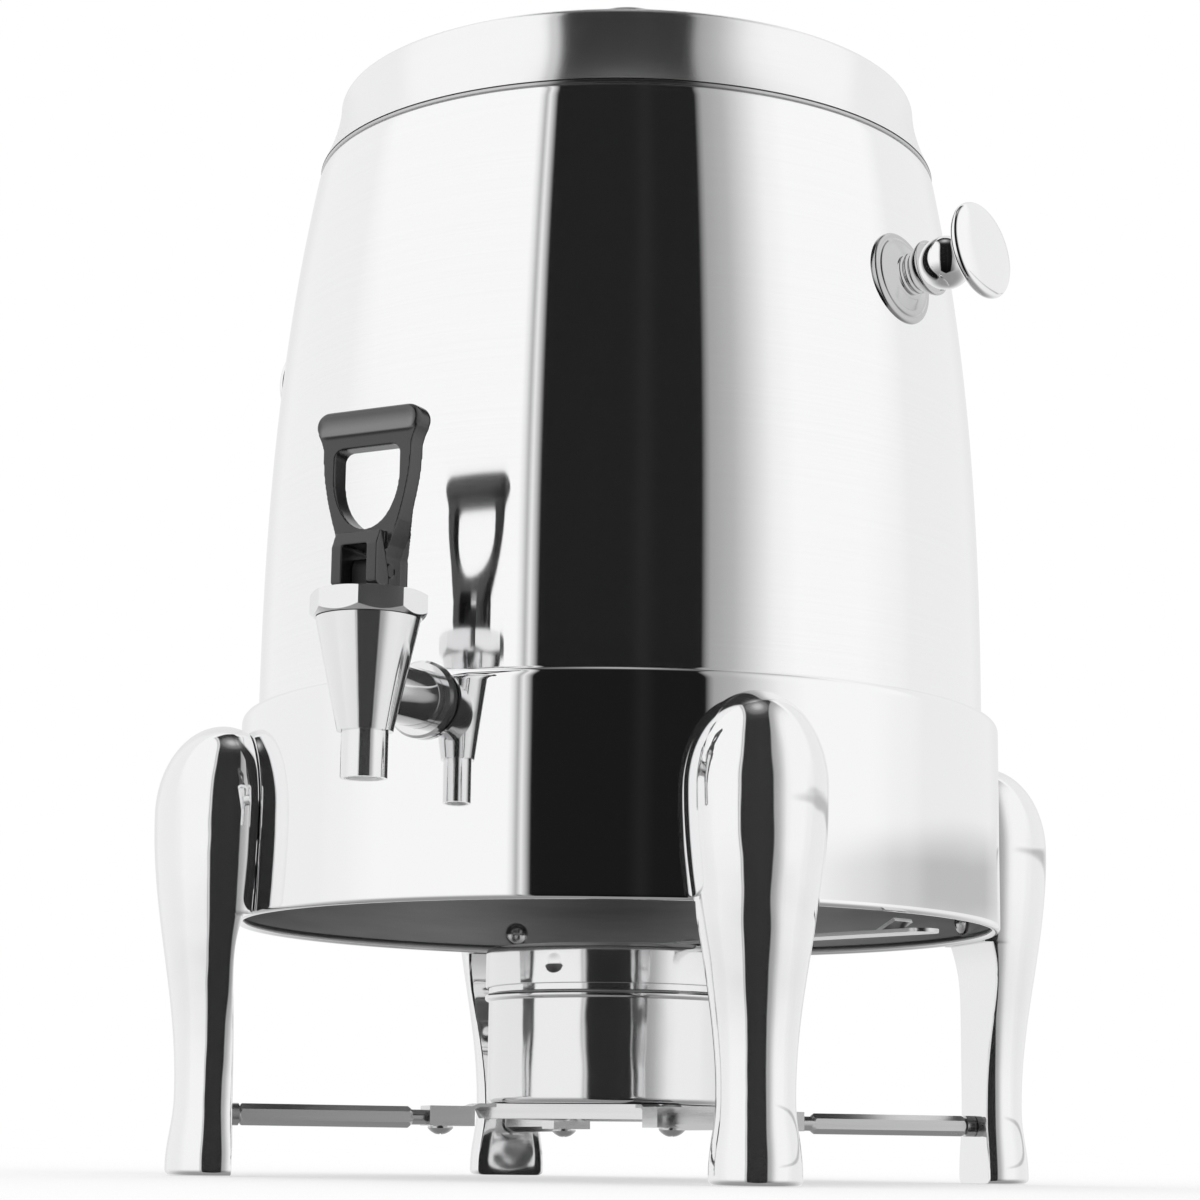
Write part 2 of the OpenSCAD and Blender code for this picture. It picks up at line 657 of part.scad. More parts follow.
// A square plate with turned-down edges, and an ear over each arm's lug.
module burner_plate() {
    half = plate_w / 2;
    edge = half - flange_relief;
    corner = half * sqrt(2);
    under = plate_top - plate_t;
    color(steel) difference() {
        union() {
            translate([-half, -half, under]) cube([plate_w, plate_w, plate_t]);
            for (turn = [0:3]) rotate([0, 0, 90 * turn]) translate([0, -half + plate_t, plate_top]) rotate([90, 0, 0])
                linear_extrude(height = plate_t) polygon([
                    [-edge, 0], [edge, 0], [edge, flange_cut - flange_h], [edge - flange_cut, -flange_h],
                    [flange_cut - edge, -flange_h], [-edge, flange_cut - flange_h]
                ]);
            for (bearing = leg_bearings) at_bearing(bearing) rotate([90, 0, -90])
                linear_extrude(height = lug_w, center = true) polygon([
                    [corner - lug_w, under], [corner - 1.5, under], [corner + 1, lug_top], [lug_out, lug_top],
                    [lug_out, ear_top], [corner + 1.6, ear_top], [corner - 0.9, plate_top], [corner - lug_w, plate_top]
                ]);
        }
        for (bearing = leg_bearings) at_bearing(bearing)
            translate([0, -arm_screw_at, lug_top - cut]) cylinder(r = screw_r + run_gap, h = plate_t + 2 * cut);
    }
}

// ---------------------------------------------------------------- fuel cup

module fuel_cup() {
    in = cup_r - cup_wall;
    edge = 2;
    color(steel) union() {
        turned(concat(
            [[0, cup_low]], arc([cup_r - edge, cup_low + edge], edge, -90, 0),
            [[cup_r, cup_top], [in, cup_top]],
            arc([cup_r - edge, cup_low + edge], edge - cup_wall, 0, -90), [[0, cup_low + cup_wall]]));
        rotate_extrude() translate([cup_r, cup_low + cup_bead_at]) intersection() {
            circle(cup_bead, $fn = 32);
            translate([-cup_wall / 2, -cup_bead]) square([2 * cup_bead, 2 * cup_bead]);
        }
    }
}

module fuel_cap() {
    dent = 0.7;
    dent_r = (pow(dimple_r, 2) + pow(dent, 2)) / (2 * dent);
    edge = 2;
    low = cap_top - cap_h;
    color(steel) difference() {
        turned(concat(
            [[cap_r - cup_wall, low], [cap_r, low]], arc([cap_r - edge, cap_top - edge], edge, 0, 90),
            [[flame_r, cap_top], [flame_r, cap_under], [cap_r - cup_wall, cap_under]]));
        for (bearing = [0, 120, 240]) at_bearing(bearing) {
            translate([0, -cap_r - dent_r + dent, low + cap_h * 0.5]) sphere(dent_r);
            translate([0, -cap_r + 2 * cup_wall, low + cap_h * 0.5]) outward() cylinder(r = 1.2, h = 4 * cup_wall);
        }
        at_bearing(strip_bearing) translate([0, -rivet_at, cap_under - cut])
            cylinder(r = rivet_r + run_gap, h = cup_wall + 2 * cut);
    }
}

module fuel_shutter() {
    tab_l = 9;
    tab_at = strip_reach - 21;
    tab_lean = 26;
    neck_w = strip_w * 0.75;
    tip_r = strip_w / 2;
    color(steel) at_bearing(strip_bearing) difference() {
        union() {
            translate([0, 0, shutter_z]) cylinder(r = flame_r + shutter_lap, h = shutter_t);
            translate([-tip_r, -strip_reach + tip_r, shutter_z]) cube([strip_w, strip_reach - tip_r - rivet_at, shutter_t]);
            translate([0, -strip_reach + tip_r, shutter_z]) cylinder(r = tip_r, h = shutter_t);
            translate([0, -rivet_at, shutter_z]) cylinder(r = tip_r, h = shutter_t);
            translate([-neck_w / 2, -rivet_at, shutter_z]) cube([neck_w, rivet_at - flame_r, shutter_t]);
            translate([-neck_w / 2, -tab_at, shutter_z]) rotate([-tab_lean, 0, 0]) translate([0, -tab_l, 0])
                cube([neck_w, tab_l, shutter_t]);
        }
        translate([0, -rivet_at, shutter_z - cut]) cylinder(r = rivet_r + run_gap, h = shutter_t + 2 * cut);
    }
}

module shutter_rivet() {
    head = 1;
    under = cap_under - head;
    color(dark_steel) at_bearing(strip_bearing) translate([0, -rivet_at, 0]) union() {
        translate([0, 0, under]) cylinder(r = rivet_r, h = strip_top + seat_gap + head - under);
        translate([0, 0, strip_top + seat_gap]) turned([[0, 0], [1.8 * rivet_r, 0], [1.5 * rivet_r, head], [0, head]]);
        translate([0, 0, under]) cylinder(r = 1.6 * rivet_r, h = head);
    }
}

// ---------------------------------------------------------------- tap

module on_tap(z = 0) { translate([0, tap_y, z]) children(); }

module tap_body() {
    chamber_low_r = spout_bore + 1.8;
    chamber_cone = 24;
    inner_end = tank_in_r - seal_t - lock_nut_t - 4;
    color(steel) difference() {
        union() {
            on_tap(cone_low_z) cylinder(r1 = cone_low_r, r2 = cone_top_r, h = cone_top_z - cone_low_z);
            on_tap(cone_low_z - spout_l) cylinder(r = spout_r, h = spout_l + cut);
            on_tap(cone_top_z - cut) cylinder(r = neck_thread_r, h = neck_thread_h + cut);
            translate([0, -skirt_r - tap_ring_t - 2 * seat_gap, tap_z]) outward()
                cylinder(r = shank_r, h = tap_reach - tap_ring_t - 2 * seat_gap);
            translate([0, -inner_end, tap_z]) outward() cylinder(r = thread_r, h = skirt_r - inner_end + tap_reach);
        }
        on_tap(cone_low_z - spout_l - cut) cylinder(r = spout_bore, h = spout_l + seat_up + 2 * cut);
        on_tap(seat_z) cylinder(r1 = chamber_low_r, r2 = chamber_r, h = chamber_cone);
        on_tap(seat_z + chamber_cone - 0.01)
            cylinder(r = chamber_r, h = cone_top_z + neck_thread_h + cut - seat_z - chamber_cone);
        translate([0, -inner_end + cut, tap_z]) outward()
            cylinder(r = shank_bore, h = skirt_r - inner_end + tap_reach + cut);
    }
}

// A ring around the shank, from one distance off the urn's axis to another.
module shank_ring(radius, from, to, sides = 72) {
    translate([0, -from, tap_z]) outward() difference() {
        cylinder(r = radius, h = to - from, $fn = sides);
        translate([0, 0, -cut]) cylinder(r = thread_r + run_gap, h = to - from + 2 * cut);
    }
}

module tap_ring() {
    chamfer = 0.8;
    from = skirt_r + seat_gap;
    color(steel) intersection() {
        shank_ring(tap_ring_r, from, from + tap_ring_t);
        translate([0, -from, tap_z]) outward() turned([
            [0, 0], [tap_ring_r, 0], [tap_ring_r, tap_ring_t - chamfer], [tap_ring_r - chamfer, tap_ring_t], [0, tap_ring_t]
        ]);
    }
}

// The skirt's inside is hollow, so the spacer stops where its corners meet it.
module tap_spacer() {
    radius = thread_r + 2;
    to = sqrt(pow(skirt_r - skirt_wall, 2) - pow(radius, 2)) - seat_gap;
    color(steel) shank_ring(radius, tank_r + seat_gap, to);
}

seal_r = thread_r + 5;
seal_out = sqrt(pow(tank_in_r, 2) - pow(seal_r, 2)) - seat_gap;

module tank_seal() { color(rubber) shank_ring(seal_r, seal_out - seal_t, seal_out); }

module tap_lock_nut() {
    out = seal_out - seal_t;
    color(steel) shank_ring(lock_nut_af / sqrt(3), out - lock_nut_t, out, 6);
}

module bonnet_nut() {
    eighth = 22.5;
    corner_r = bonnet_af / 2 / cos(eighth);
    chamfer_r = bonnet_af / 2 - 0.4;
    low_chamfer = 2.6;
    top_chamfer = 1;
    gap = run_gap + 0.04;
    color(steel) on_tap(bonnet_low) difference() {
        intersection() {
            rotate([0, 0, eighth]) cylinder(r = corner_r, h = bonnet_h, $fn = 8);
            turned([[0, 0], [chamfer_r, 0], [corner_r + cut, low_chamfer], [corner_r + cut, bonnet_h - top_chamfer],
                    [chamfer_r, bonnet_h], [0, bonnet_h]]);
        }
        translate([0, 0, -cut]) cylinder(r = neck_thread_r + gap, h = bonnet_h - bonnet_top_t + cut);
        translate([0, 0, -cut]) cylinder(r = stem_r + run_gap, h = bonnet_h + 2 * cut);
    }
}

// A rubber ring that seals the stem under the bonnet's top. The spring's last coil lies around it.
module stem_seal() {
    wide = spring_r - wire_r - 0.1;
    color(rubber) on_tap(bonnet_under - 2) difference() {
        cylinder(r = wide, h = 2 - seat_gap);
        translate([0, 0, -cut]) cylinder(r = stem_r + run_gap, h = 2 + 2 * cut);
    }
}

module tap_stem() {
    tail_low = seat_z + move_gap + 4.5;
    tongue_w = fork_slot - 2 * move_gap;
    tongue_d = 7;
    tongue_top = 4.6;
    tongue_low = bonnet_top + 0.6;
    color(plastic) difference() {
        union() {
            on_tap(tail_low) cylinder(r = tail_r, h = collar_top - tail_low);
            on_tap(collar_top - stem_collar_t) cylinder(r = stem_collar_r, h = stem_collar_t);
            on_tap(collar_top - cut) cylinder(r = stem_r, h = tongue_low + cut - collar_top);
            on_tap(tongue_low) translate([-tongue_w / 2, -tongue_d / 2, 0])
                cube([tongue_w, tongue_d, pin_z - tongue_low + tongue_top - tongue_d / 2]);
            on_tap(pin_z + tongue_top - tongue_d / 2) rotate([0, 90, 0])
                cylinder(r = tongue_d / 2, h = tongue_w, center = true);
        }
        on_tap(pin_z) rotate([0, 90, 0]) cylinder(r = pin_r + run_gap, h = tongue_w + 2 * cut, center = true);
    }
}

// The spring is a tube with eight sides, swept up a helix and closed at both ends.
module tap_spring() {
    sides = 8;
    rings = 16 * spring_turns;
    rise = spring_l - 2 * wire_r - 2 * seat_gap;
    points = [for (i = [0:rings], k = [0:sides - 1])
        let (turn = 360 * spring_turns * i / rings, a = 360 * k / sides, r = spring_r + wire_r * cos(a))
        [r * cos(turn), r * sin(turn), rise * i / rings + wire_r * sin(a)]];
    faces = concat(
        [[for (k = [sides - 1:-1:0]) k]],
        [for (i = [0:rings - 1], k = [0:sides - 1])
            let (a = i * sides + k, b = i * sides + (k + 1) % sides) [a, b, b + sides, a + sides]],
        [[for (k = [0:sides - 1]) rings * sides + k]]);
    color(dark_steel) on_tap(collar_top + wire_r + seat_gap) polyhedron(points, [for (f = faces) reversed(f)]);
}

module seat_cup() {
    low = seat_z + move_gap;
    color(rubber) on_tap(low) difference() {
        turned([[0, 0], [seat_cup_r - 0.6, 0], [seat_cup_r, 0.8], [seat_cup_r, 4], [seat_cup_r - 1.2, 6],
                [seat_cup_r - 1.2, seat_cup_h - 2], [seat_cup_r - 0.4, seat_cup_h - 1], [seat_cup_r - 0.4, seat_cup_h],
                [0, seat_cup_h]]);
        translate([0, 0, 4.5]) cylinder(r = tail_r + run_gap, h = seat_cup_h);
    }
}

// ---------------------------------------------------------------- tap handle, built around its pin

// The front heel is the involute of a circle of radius cam_rate. Its lowest point sinks by cam_rate for
// each radian of tilt, so the heel keeps its gap to the bonnet nut while the stem rises.
function heel_point(tilt) =
    let (reach = heel + cam_rate * tilt * PI / 180)
    [-reach * sin(tilt) - cam_rate * cos(tilt), -reach * cos(tilt) + cam_rate * sin(tilt)];

function fork_outline() = concat(
    [for (i = [0:arc_steps]) heel_point(tilt_max * i / arc_steps)],
    [[-fork_half_d, fork_up * 0.6], [-fork_half_d + 2.2, fork_up], [fork_half_d - 3.4, fork_up],
     [fork_half_d, fork_up * 0.35], [fork_half_d, -heel + 2.5], [fork_half_d - 2.5, -heel]]);

// Half widths of the loop's outside and of its opening, over the height above the fork. The opening is the end
// of an ellipse below and has rounded corners above.
function loop_half(h) = loop_foot / 2 + (loop_w - loop_foot) / 2 * sin(min(90, 104 * max(0, h) / loop_h));
function opening_half(h) =
    let (low = (h - opening_low) / opening_rise, top = max(0, h - opening_top + opening_corner) / opening_corner)
    (loop_w / 2 - loop_side) * sqrt(1 - pow(1 - min(1, low), 2)) - opening_corner * (1 - sqrt(1 - top * top));

module loop_frame() {
    // The loop grows out of the fork's cheeks, below the fork's top.
    side = concat([[fork_w / 2 - 0.4, fork_up - 9]],
                  [for (i = [0:arc_steps]) let (h = loop_h * i / arc_steps) [loop_half(h), fork_up + h]],
                  [[loop_w / 2, fork_up + loop_h + 2]]);
    hole = [for (i = [0:steps]) let (h = opening_low + (opening_top - opening_low) * ease(i / steps))
        [max(0, opening_half(h)), fork_up + h]];
    rotate([90, 0, 0]) linear_extrude(height = loop_d, center = true) difference() {
        polygon(concat(side, reversed([for (p = side) [-p[0], p[1]]])));
        polygon(concat(hole, reversed([for (p = hole) [-p[0], p[1]]])));
    }
}

// A bar with rounded ends, as seen from the front, and with rounded edges all around.
module grip() {
    end_r = grip_h / 2;
    edge_r = 2.4;
    flat = grip_l / 2 - end_r;
    edge = grip_d / 2 - edge_r;
    translate([0, 0, grip_z]) rotate([90, 0, 0]) union() {
        for (side = [-1, 1]) translate([side * flat, 0, 0]) turned(concat(
            arc([end_r - edge_r, -edge], edge_r, -90, 0, 4), arc([end_r - edge_r, edge], edge_r, 0, 90, 4),
            [[0, grip_d / 2], [0, -grip_d / 2]]));
        rotate([90, 0, 90]) linear_extrude(height = 2 * flat, center = true) polygon(concat(
            arc([end_r - edge_r, -edge], edge_r, -90, 0, 4), arc([end_r - edge_r, edge], edge_r, 0, 90, 4),
            arc([-end_r + edge_r, edge], edge_r, 90, 180, 4), arc([-end_r + edge_r, -edge], edge_r, 180, 270, 4)));
    }
}

module tap_handle() {
    color(plastic) on_tap(pin_z) difference() {
        union() {
            rotate([90, 0, 90]) linear_extrude(height = fork_w, center = true) polygon(fork_outline());
            loop_frame();
            grip();
        }
        translate([-fork_slot / 2, -fork_half_d - cut, -heel - cut])
            cube([fork_slot, 2 * fork_half_d + 2 * cut, heel + cut + slot_up]);
        rotate([0, 90, 0]) cylinder(r = pin_r + run_gap, h = fork_w + 2 * cut, center = true);
    }
}

module handle_pin() {
    color(dark_steel) on_tap(pin_z) rotate([0, 90, 0]) cylinder(r = pin_r, h = fork_w - 1, center = true);
}

skirt_band();
outer_shell();
water_tank();
lid_cover();
lid_locating_ring();
lid_knob();
lid_knob_collar();
lid_knob_rosette();
lid_knob_stud();
knob_right();
knob_collar_right();
knob_rosette_right();
knob_stud_right();
knob_left();
knob_collar_left();
knob_rosette_left();
knob_stud_left();
leg_front_right();
leg_rear_right();
leg_rear_left();
leg_front_left();
leg_screws();
arm_front_right();
arm_rear_right();
arm_rear_left();
arm_front_left();
arm_lock_nuts();
arm_screws();
burner_plate();
fuel_cup();
fuel_cap();
fuel_shutter();
shutter_rivet();
tap_body();
tap_ring();
tap_spacer();
tank_seal();
tap_lock_nut();
bonnet_nut();
stem_seal();
tap_stem();
tap_spring();
seat_cup();
tap_handle();
handle_pin();
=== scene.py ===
# %% [markdown]
# # A coffee urn on turned legs
# The CAD model brings every solid in its place. This lesson dresses it: the polished and brushed sheet metal is
# spun again as smooth lathe meshes, the tap's handle is moulded, and each finish gets its own material. Everything
# is in metres, and Z is the urn's upright axis.

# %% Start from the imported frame
import math
import bpy
import bmesh
from mathutils import Matrix, Vector


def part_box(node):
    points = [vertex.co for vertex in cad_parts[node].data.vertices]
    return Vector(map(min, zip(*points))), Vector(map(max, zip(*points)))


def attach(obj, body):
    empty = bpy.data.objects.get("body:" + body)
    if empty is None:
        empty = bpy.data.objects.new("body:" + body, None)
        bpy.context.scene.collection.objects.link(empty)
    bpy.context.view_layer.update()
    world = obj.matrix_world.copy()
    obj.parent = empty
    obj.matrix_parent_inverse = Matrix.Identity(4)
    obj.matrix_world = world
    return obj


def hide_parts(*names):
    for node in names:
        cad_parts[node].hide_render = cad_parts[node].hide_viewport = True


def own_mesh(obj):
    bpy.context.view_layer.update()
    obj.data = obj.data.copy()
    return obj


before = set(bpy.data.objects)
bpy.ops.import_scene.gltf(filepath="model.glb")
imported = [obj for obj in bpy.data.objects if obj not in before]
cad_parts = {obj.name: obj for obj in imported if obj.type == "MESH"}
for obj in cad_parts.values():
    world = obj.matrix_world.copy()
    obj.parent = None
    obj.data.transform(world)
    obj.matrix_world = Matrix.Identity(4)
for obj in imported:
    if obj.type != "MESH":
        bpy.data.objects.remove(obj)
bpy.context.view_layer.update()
MM = 0.001
TAP_Y = -170.4  # The tap's axis, in millimetres

# %% [markdown]
# A few steps come back all through this lesson: placing an object in the scene, making a material, wiring a shader
# node, joining rings of points by faces, and closing off a mesh. Each has a small function here.

# %% Small helpers
def linked(name, data):
    obj = bpy.data.objects.new(name, data)
    bpy.context.collection.objects.link(obj)
    return obj

def new_material(name):
    made = bpy.data.materials.new(name)
    made.use_nodes = True
    return made, made.node_tree, made.node_tree.nodes["Principled BSDF"]

def feed(tree, node, inputs):
    """Gives each named input a number, a colour, or the output of another node."""
    for label, value in dict(inputs).items():
        if isinstance(value, bpy.types.NodeSocket):
            tree.links.new(value, node.inputs[label])
        else:
            node.inputs[label].default_value = value
    return node

def node_of(tree, kind, inputs=(), **settings):
    made = tree.nodes.new(kind)
    for key, value in settings.items():
        setattr(made, key, value)
    return feed(tree, made, inputs)

def math_node(tree, operation, *values):
    return node_of(tree, "ShaderNodeMath", enumerate(values), operation=operation).outputs[0]

def noise_node(tree, inputs):
    return node_of(tree, "ShaderNodeTexNoise", inputs, noise_dimensions="3D").outputs[0]

def colour_mix(tree, blend, factor, a, b):
    inputs = {"Factor": factor, "A": a, "B": b}
    return node_of(tree, "ShaderNodeMix", inputs, data_type="RGBA", blend_type=blend).outputs["Result"]

def fade(tree, value, none, full, least):
    """Goes smoothly from least to 1, while value goes from none to full."""
    inputs = {"Value": value, "From Min": none, "From Max": full, "To Min": least, "To Max": 1.0}
    return node_of(tree, "ShaderNodeMapRange", inputs, interpolation_type="SMOOTHSTEP").outputs["Result"]

def coordinates(tree, kind="Object"):
    """The x, y and z of the point that is shaded, or with kind Generated in a world, of the ray."""
    place = tree.nodes.new("ShaderNodeTexCoord").outputs[kind]
    return node_of(tree, "ShaderNodeSeparateXYZ", {0: place}).outputs

def bridge(bm, rings):
    """Joins each ring of points to the next one by a band of faces."""
    for low, high in zip(rings, rings[1:]):
        for k in range(len(low)):
            k2 = (k + 1) % len(low)
            bm.faces.new((low[k], low[k2], high[k2], high[k]))

def finished(bm, name):
    """The mesh, with its faces turned outwards."""
    bmesh.ops.recalc_face_normals(bm, faces=bm.faces)
    mesh = bpy.data.meshes.new(name)
    bm.to_mesh(mesh)
    bm.free()
    return mesh

print("helpers ready")

# %% [markdown]
# The camera stands a finger's width above the table and looks up, which gives the urn its tall, narrowing look.
# It is placed by its turn around the urn, its pitch and a slight roll. Fixing these three and the lens keeps the
# view the same on every run.

# %% Camera
CAMERA_AT = (0.4758, -0.9113, 0.0099)
CAMERA_BEARING = math.radians(28)
CAMERA_PITCH = 0.1903
CAMERA_ROLL = 0.0134
CAMERA_LENS = 85.76

def make_camera():
    cam = bpy.data.cameras.new("camera")
    cam.sensor_width = 36
    cam.lens = CAMERA_LENS
    cam.clip_start = 0.01
    look = Vector((0, math.cos(CAMERA_PITCH), math.sin(CAMERA_PITCH)))
    above = Vector((0, -math.sin(CAMERA_PITCH), math.cos(CAMERA_PITCH)))
    side = Vector((1, 0, 0))
    right = math.cos(CAMERA_ROLL) * side + math.sin(CAMERA_ROLL) * above
    up = -math.sin(CAMERA_ROLL) * side + math.cos(CAMERA_ROLL) * above
    axes = Matrix((right, up, -look)).transposed()
    obj = linked("camera", cam)
    obj.matrix_world = Matrix.Translation(CAMERA_AT) @ (Matrix.Rotation(CAMERA_BEARING, 3, "Z") @ axes).to_4x4()
    bpy.context.scene.camera = obj

make_camera()
print("camera at", CAMERA_AT)

# %% [markdown]
# Polished metal has no colour of its own: it shows the room. A photo studio for metalware is a white room with a
# dark gap between two big white walls. The gap draws the dark upright stripe that tells the eye the body is round.
# A soft lamp overhead lights the edges that face up, and a darker base ends the right wall. The world below is such
# a room for reflected rays only. Every other ray sees plain white, so the floor and the backdrop stay pale and the
# light is soft.

# %% The studio around the urn
DARK, EDGE, BACK, WHITE = 0.010, 0.36, 0.84, 1.0
# Each stop is an angle, counted from the direction of the gap towards the right, and a brightness.
ROOM = [(-180, BACK), (-158, BACK), (-146, 0.92), (-95, 0.92), (-75, WHITE), (-31.2, WHITE), (-30.4, 0.45),
        (-29.4, 0.45), (-28.6, 0.86), (-27.0, 0.88), (-26.4, DARK), (2, DARK), (6, 0.017), (10, DARK), (24.8, DARK),
        (25.6, EDGE), (34, 0.48), (47, 0.92), (55, WHITE), (78, WHITE), (98, 0.90), (146, 0.90), (158, BACK),
        (180, BACK)]
# The darker base, low on the right. Each stop is the sine of a height, and a brightness.
BASE = [(0.072, 1.0), (0.084, 0.60), (0.098, 0.60), (0.112, 1.0)]
# The lamp, by the sine of the height.
LAMP = [(0.90, 0.0), (0.96, 0.04), (0.99, 0.25), (1.0, 0.55)]
# How much of the base there is, by angle.
BASE_SHARE = [(50, 0.0), (72, 0.5), (105, 1.0), (140, 1.0), (170, 0.0)]
# How far the gap stays open overhead, how fast the room's front turns into its back, and how far behind the zenith.
OVERHEAD, FRONT_TO_BACK, BEHIND = 0.3, 6.0, 3.0
# Below the horizon the room darkens, down to the share UNDER at the sine UNDER_AT.
UNDER, UNDER_AT = 0.35, -0.85

def by_angle(stops):
    """The stops, with each angle as a share of the whole turn."""
    return [((angle + 180) / 360, level) for angle, level in stops]

def grey_ramp(tree, value, levels):
    ramp = node_of(tree, "ShaderNodeValToRGB", {0: value})
    stops = ramp.color_ramp.elements
    while len(stops) > 1:
        stops.remove(stops[-1])
    for i, (at, level) in enumerate(levels):
        stop = stops[0] if i == 0 else stops.new(at)
        stop.position = at
        stop.color = (level, level, level, 1)
    return ramp.outputs[0]

def make_world():
    world = bpy.data.worlds.new("studio")
    world.use_nodes = True
    tree = world.node_tree
    tree.nodes.clear()
    x, y, z = coordinates(tree, "Generated")
    s, c = math.sin(CAMERA_BEARING), math.cos(CAMERA_BEARING)
    sideways = math_node(tree, "ADD", math_node(tree, "MULTIPLY", x, c), math_node(tree, "MULTIPLY", y, s))
    ahead = math_node(tree, "SUBTRACT", math_node(tree, "MULTIPLY", x, s), math_node(tree, "MULTIPLY", y, c))
    # Overhead the gap stays open, as a dark strip of ceiling. Without the height in it, it would close to a point.
    level = math_node(tree, "MULTIPLY", ahead, ahead)
    height = math_node(tree, "MULTIPLY", math_node(tree, "MULTIPLY", z, z), OVERHEAD)
    across = math_node(tree, "SQRT", math_node(tree, "ADD", level, height))
    # The strip ends some way behind the urn: there the front of the room turns into its back.
    front = math_node(tree, "ADD", math_node(tree, "MULTIPLY", ahead, FRONT_TO_BACK),
                      math_node(tree, "MULTIPLY", z, BEHIND))
    facing = math_node(tree, "MINIMUM", math_node(tree, "MAXIMUM", front, -1.0), 1.0)
    turn = math_node(tree, "ARCTAN2", sideways, math_node(tree, "MULTIPLY", across, facing))
    place = math_node(tree, "ADD", math_node(tree, "MULTIPLY", turn, 0.5 / math.pi), 0.5)
    walls = grey_ramp(tree, place, by_angle(ROOM))
    share = grey_ramp(tree, place, by_angle(BASE_SHARE))
    low_wall = colour_mix(tree, "MULTIPLY", share, walls, grey_ramp(tree, z, BASE))
    lit = colour_mix(tree, "LIGHTEN", 1, low_wall, grey_ramp(tree, z, LAMP))
    shaded = colour_mix(tree, "MULTIPLY", 1, lit, fade(tree, z, UNDER_AT, 0.0, UNDER))
    reflected = tree.nodes.new("ShaderNodeLightPath").outputs["Is Glossy Ray"]
    seen = colour_mix(tree, "MIX", reflected, (1, 1, 1, 1), shaded)
    back = node_of(tree, "ShaderNodeBackground", {"Color": seen})
    node_of(tree, "ShaderNodeOutputWorld", {0: back.outputs[0]})
    bpy.context.scene.world = world

make_world()
bpy.context.scene.view_settings.view_transform = "Standard"
print("room stops:", len(ROOM))

# %% [markdown]
# The floor is a plain white sheet just under the feet. It takes the urn's soft shadow.

# %% Floor
def make_floor(half=4.0, drop=0.0002):
    mesh = bpy.data.meshes.new("floor")
    mesh.from_pydata([(-half, -half, -drop), (half, -half, -drop), (half, half, -drop), (-half, half, -drop)],
                     [], [(0, 1, 2, 3)])
    obj = linked("floor", mesh)
    paper, tree, shader = new_material("white_paper")
    feed(tree, shader, {"Base Color": (1, 1, 1, 1), "Roughness": 0.9, "Specular IOR Level": 0})
    # Half of what the camera sees of the paper is plain white, which leaves the shadow half as deep.
    half_white = math_node(tree, "MULTIPLY", tree.nodes.new("ShaderNodeLightPath").outputs["Is Camera Ray"], 0.5)
    glow = tree.nodes.new("ShaderNodeEmission")
    blend = node_of(tree, "ShaderNodeMixShader", {0: half_white, 1: shader.outputs[0], 2: glow.outputs[0]})
    feed(tree, tree.nodes["Material Output"], {"Surface": blend.outputs[0]})
    mesh.materials.append(paper)
    obj.visible_glossy = False

make_floor()
print("floor made")

# %% [markdown]
# Two effects come back in many of the metals. Brushing leaves fine rings around the axis, a little lighter and darker
# and a little rougher. Polishing leaves a mirror that is never quite flat, so reflected edges waver. Each is a node
# group with named inputs, and each metal places it with its own values.

# %% Node group: rings left by brushing
def new_group(name, inputs, outputs):
    group = bpy.data.node_groups.new(name, "ShaderNodeTree")
    for label, default in inputs:
        socket = group.interface.new_socket(name=label, in_out="INPUT", socket_type="NodeSocketFloat")
        socket.default_value = default
    for label, kind in outputs:
        group.interface.new_socket(name=label, in_out="OUTPUT", socket_type=kind)
    return group, group.nodes.new("NodeGroupInput"), group.nodes.new("NodeGroupOutput")

def make_brushed_rings():
    group, given, result = new_group(
        "brushed_rings",
        [("Lines Per Metre", 2200), ("Contrast", 0.06), ("Roughness", 0.15), ("Roughness Spread", 0.05)],
        [("Tone", "NodeSocketFloat"), ("Roughness", "NodeSocketFloat")])
    x, y, z = coordinates(group)
    along = 6.0
    join = node_of(group, "ShaderNodeCombineXYZ", {
        0: math_node(group, "MULTIPLY", x, along), 1: math_node(group, "MULTIPLY", y, along),
        2: math_node(group, "MULTIPLY", z, given.outputs["Lines Per Metre"])})
    fine = noise_node(group, {"Vector": join.outputs[0], "Scale": 1.0, "Detail": 4.0, "Roughness": 0.7})
    centred = math_node(group, "SUBTRACT", fine, 0.5)
    uneven = math_node(group, "MULTIPLY", centred, given.outputs["Contrast"])
    rougher = math_node(group, "MULTIPLY", centred, given.outputs["Roughness Spread"])
    feed(group, result, {"Tone": math_node(group, "ADD", 1.0, uneven),
                         "Roughness": math_node(group, "ADD", given.outputs["Roughness"], rougher)})
    return group

brushed_rings = make_brushed_rings()
print("group:", brushed_rings.name)

# %% Node group: the slow waver of polished metal
def make_polish_waver():
    group, given, result = new_group(
        "polish_waver",
        [("Waves Per Metre", 30), ("Depth", 0.1), ("Roughness", 0.03), ("Smudge", 0.02)],
        [("Normal", "NodeSocketVector"), ("Roughness", "NodeSocketFloat")])
    place = group.nodes.new("ShaderNodeTexCoord").outputs["Object"]
    wave = noise_node(group, {"Vector": place, "Scale": given.outputs["Waves Per Metre"], "Detail": 1.5})
    bump = node_of(group, "ShaderNodeBump", {"Distance": 0.001, "Strength": given.outputs["Depth"], "Height": wave})
    cloudy = noise_node(group, {"Vector": place, "Scale": 45, "Detail": 5})
    smudge = math_node(group, "MULTIPLY", cloudy, given.outputs["Smudge"])
    feed(group, result, {"Normal": bump.outputs[0],
                         "Roughness": math_node(group, "ADD", given.outputs["Roughness"], smudge)})
    return group

polish_waver = make_polish_waver()
print("group:", polish_waver.name)

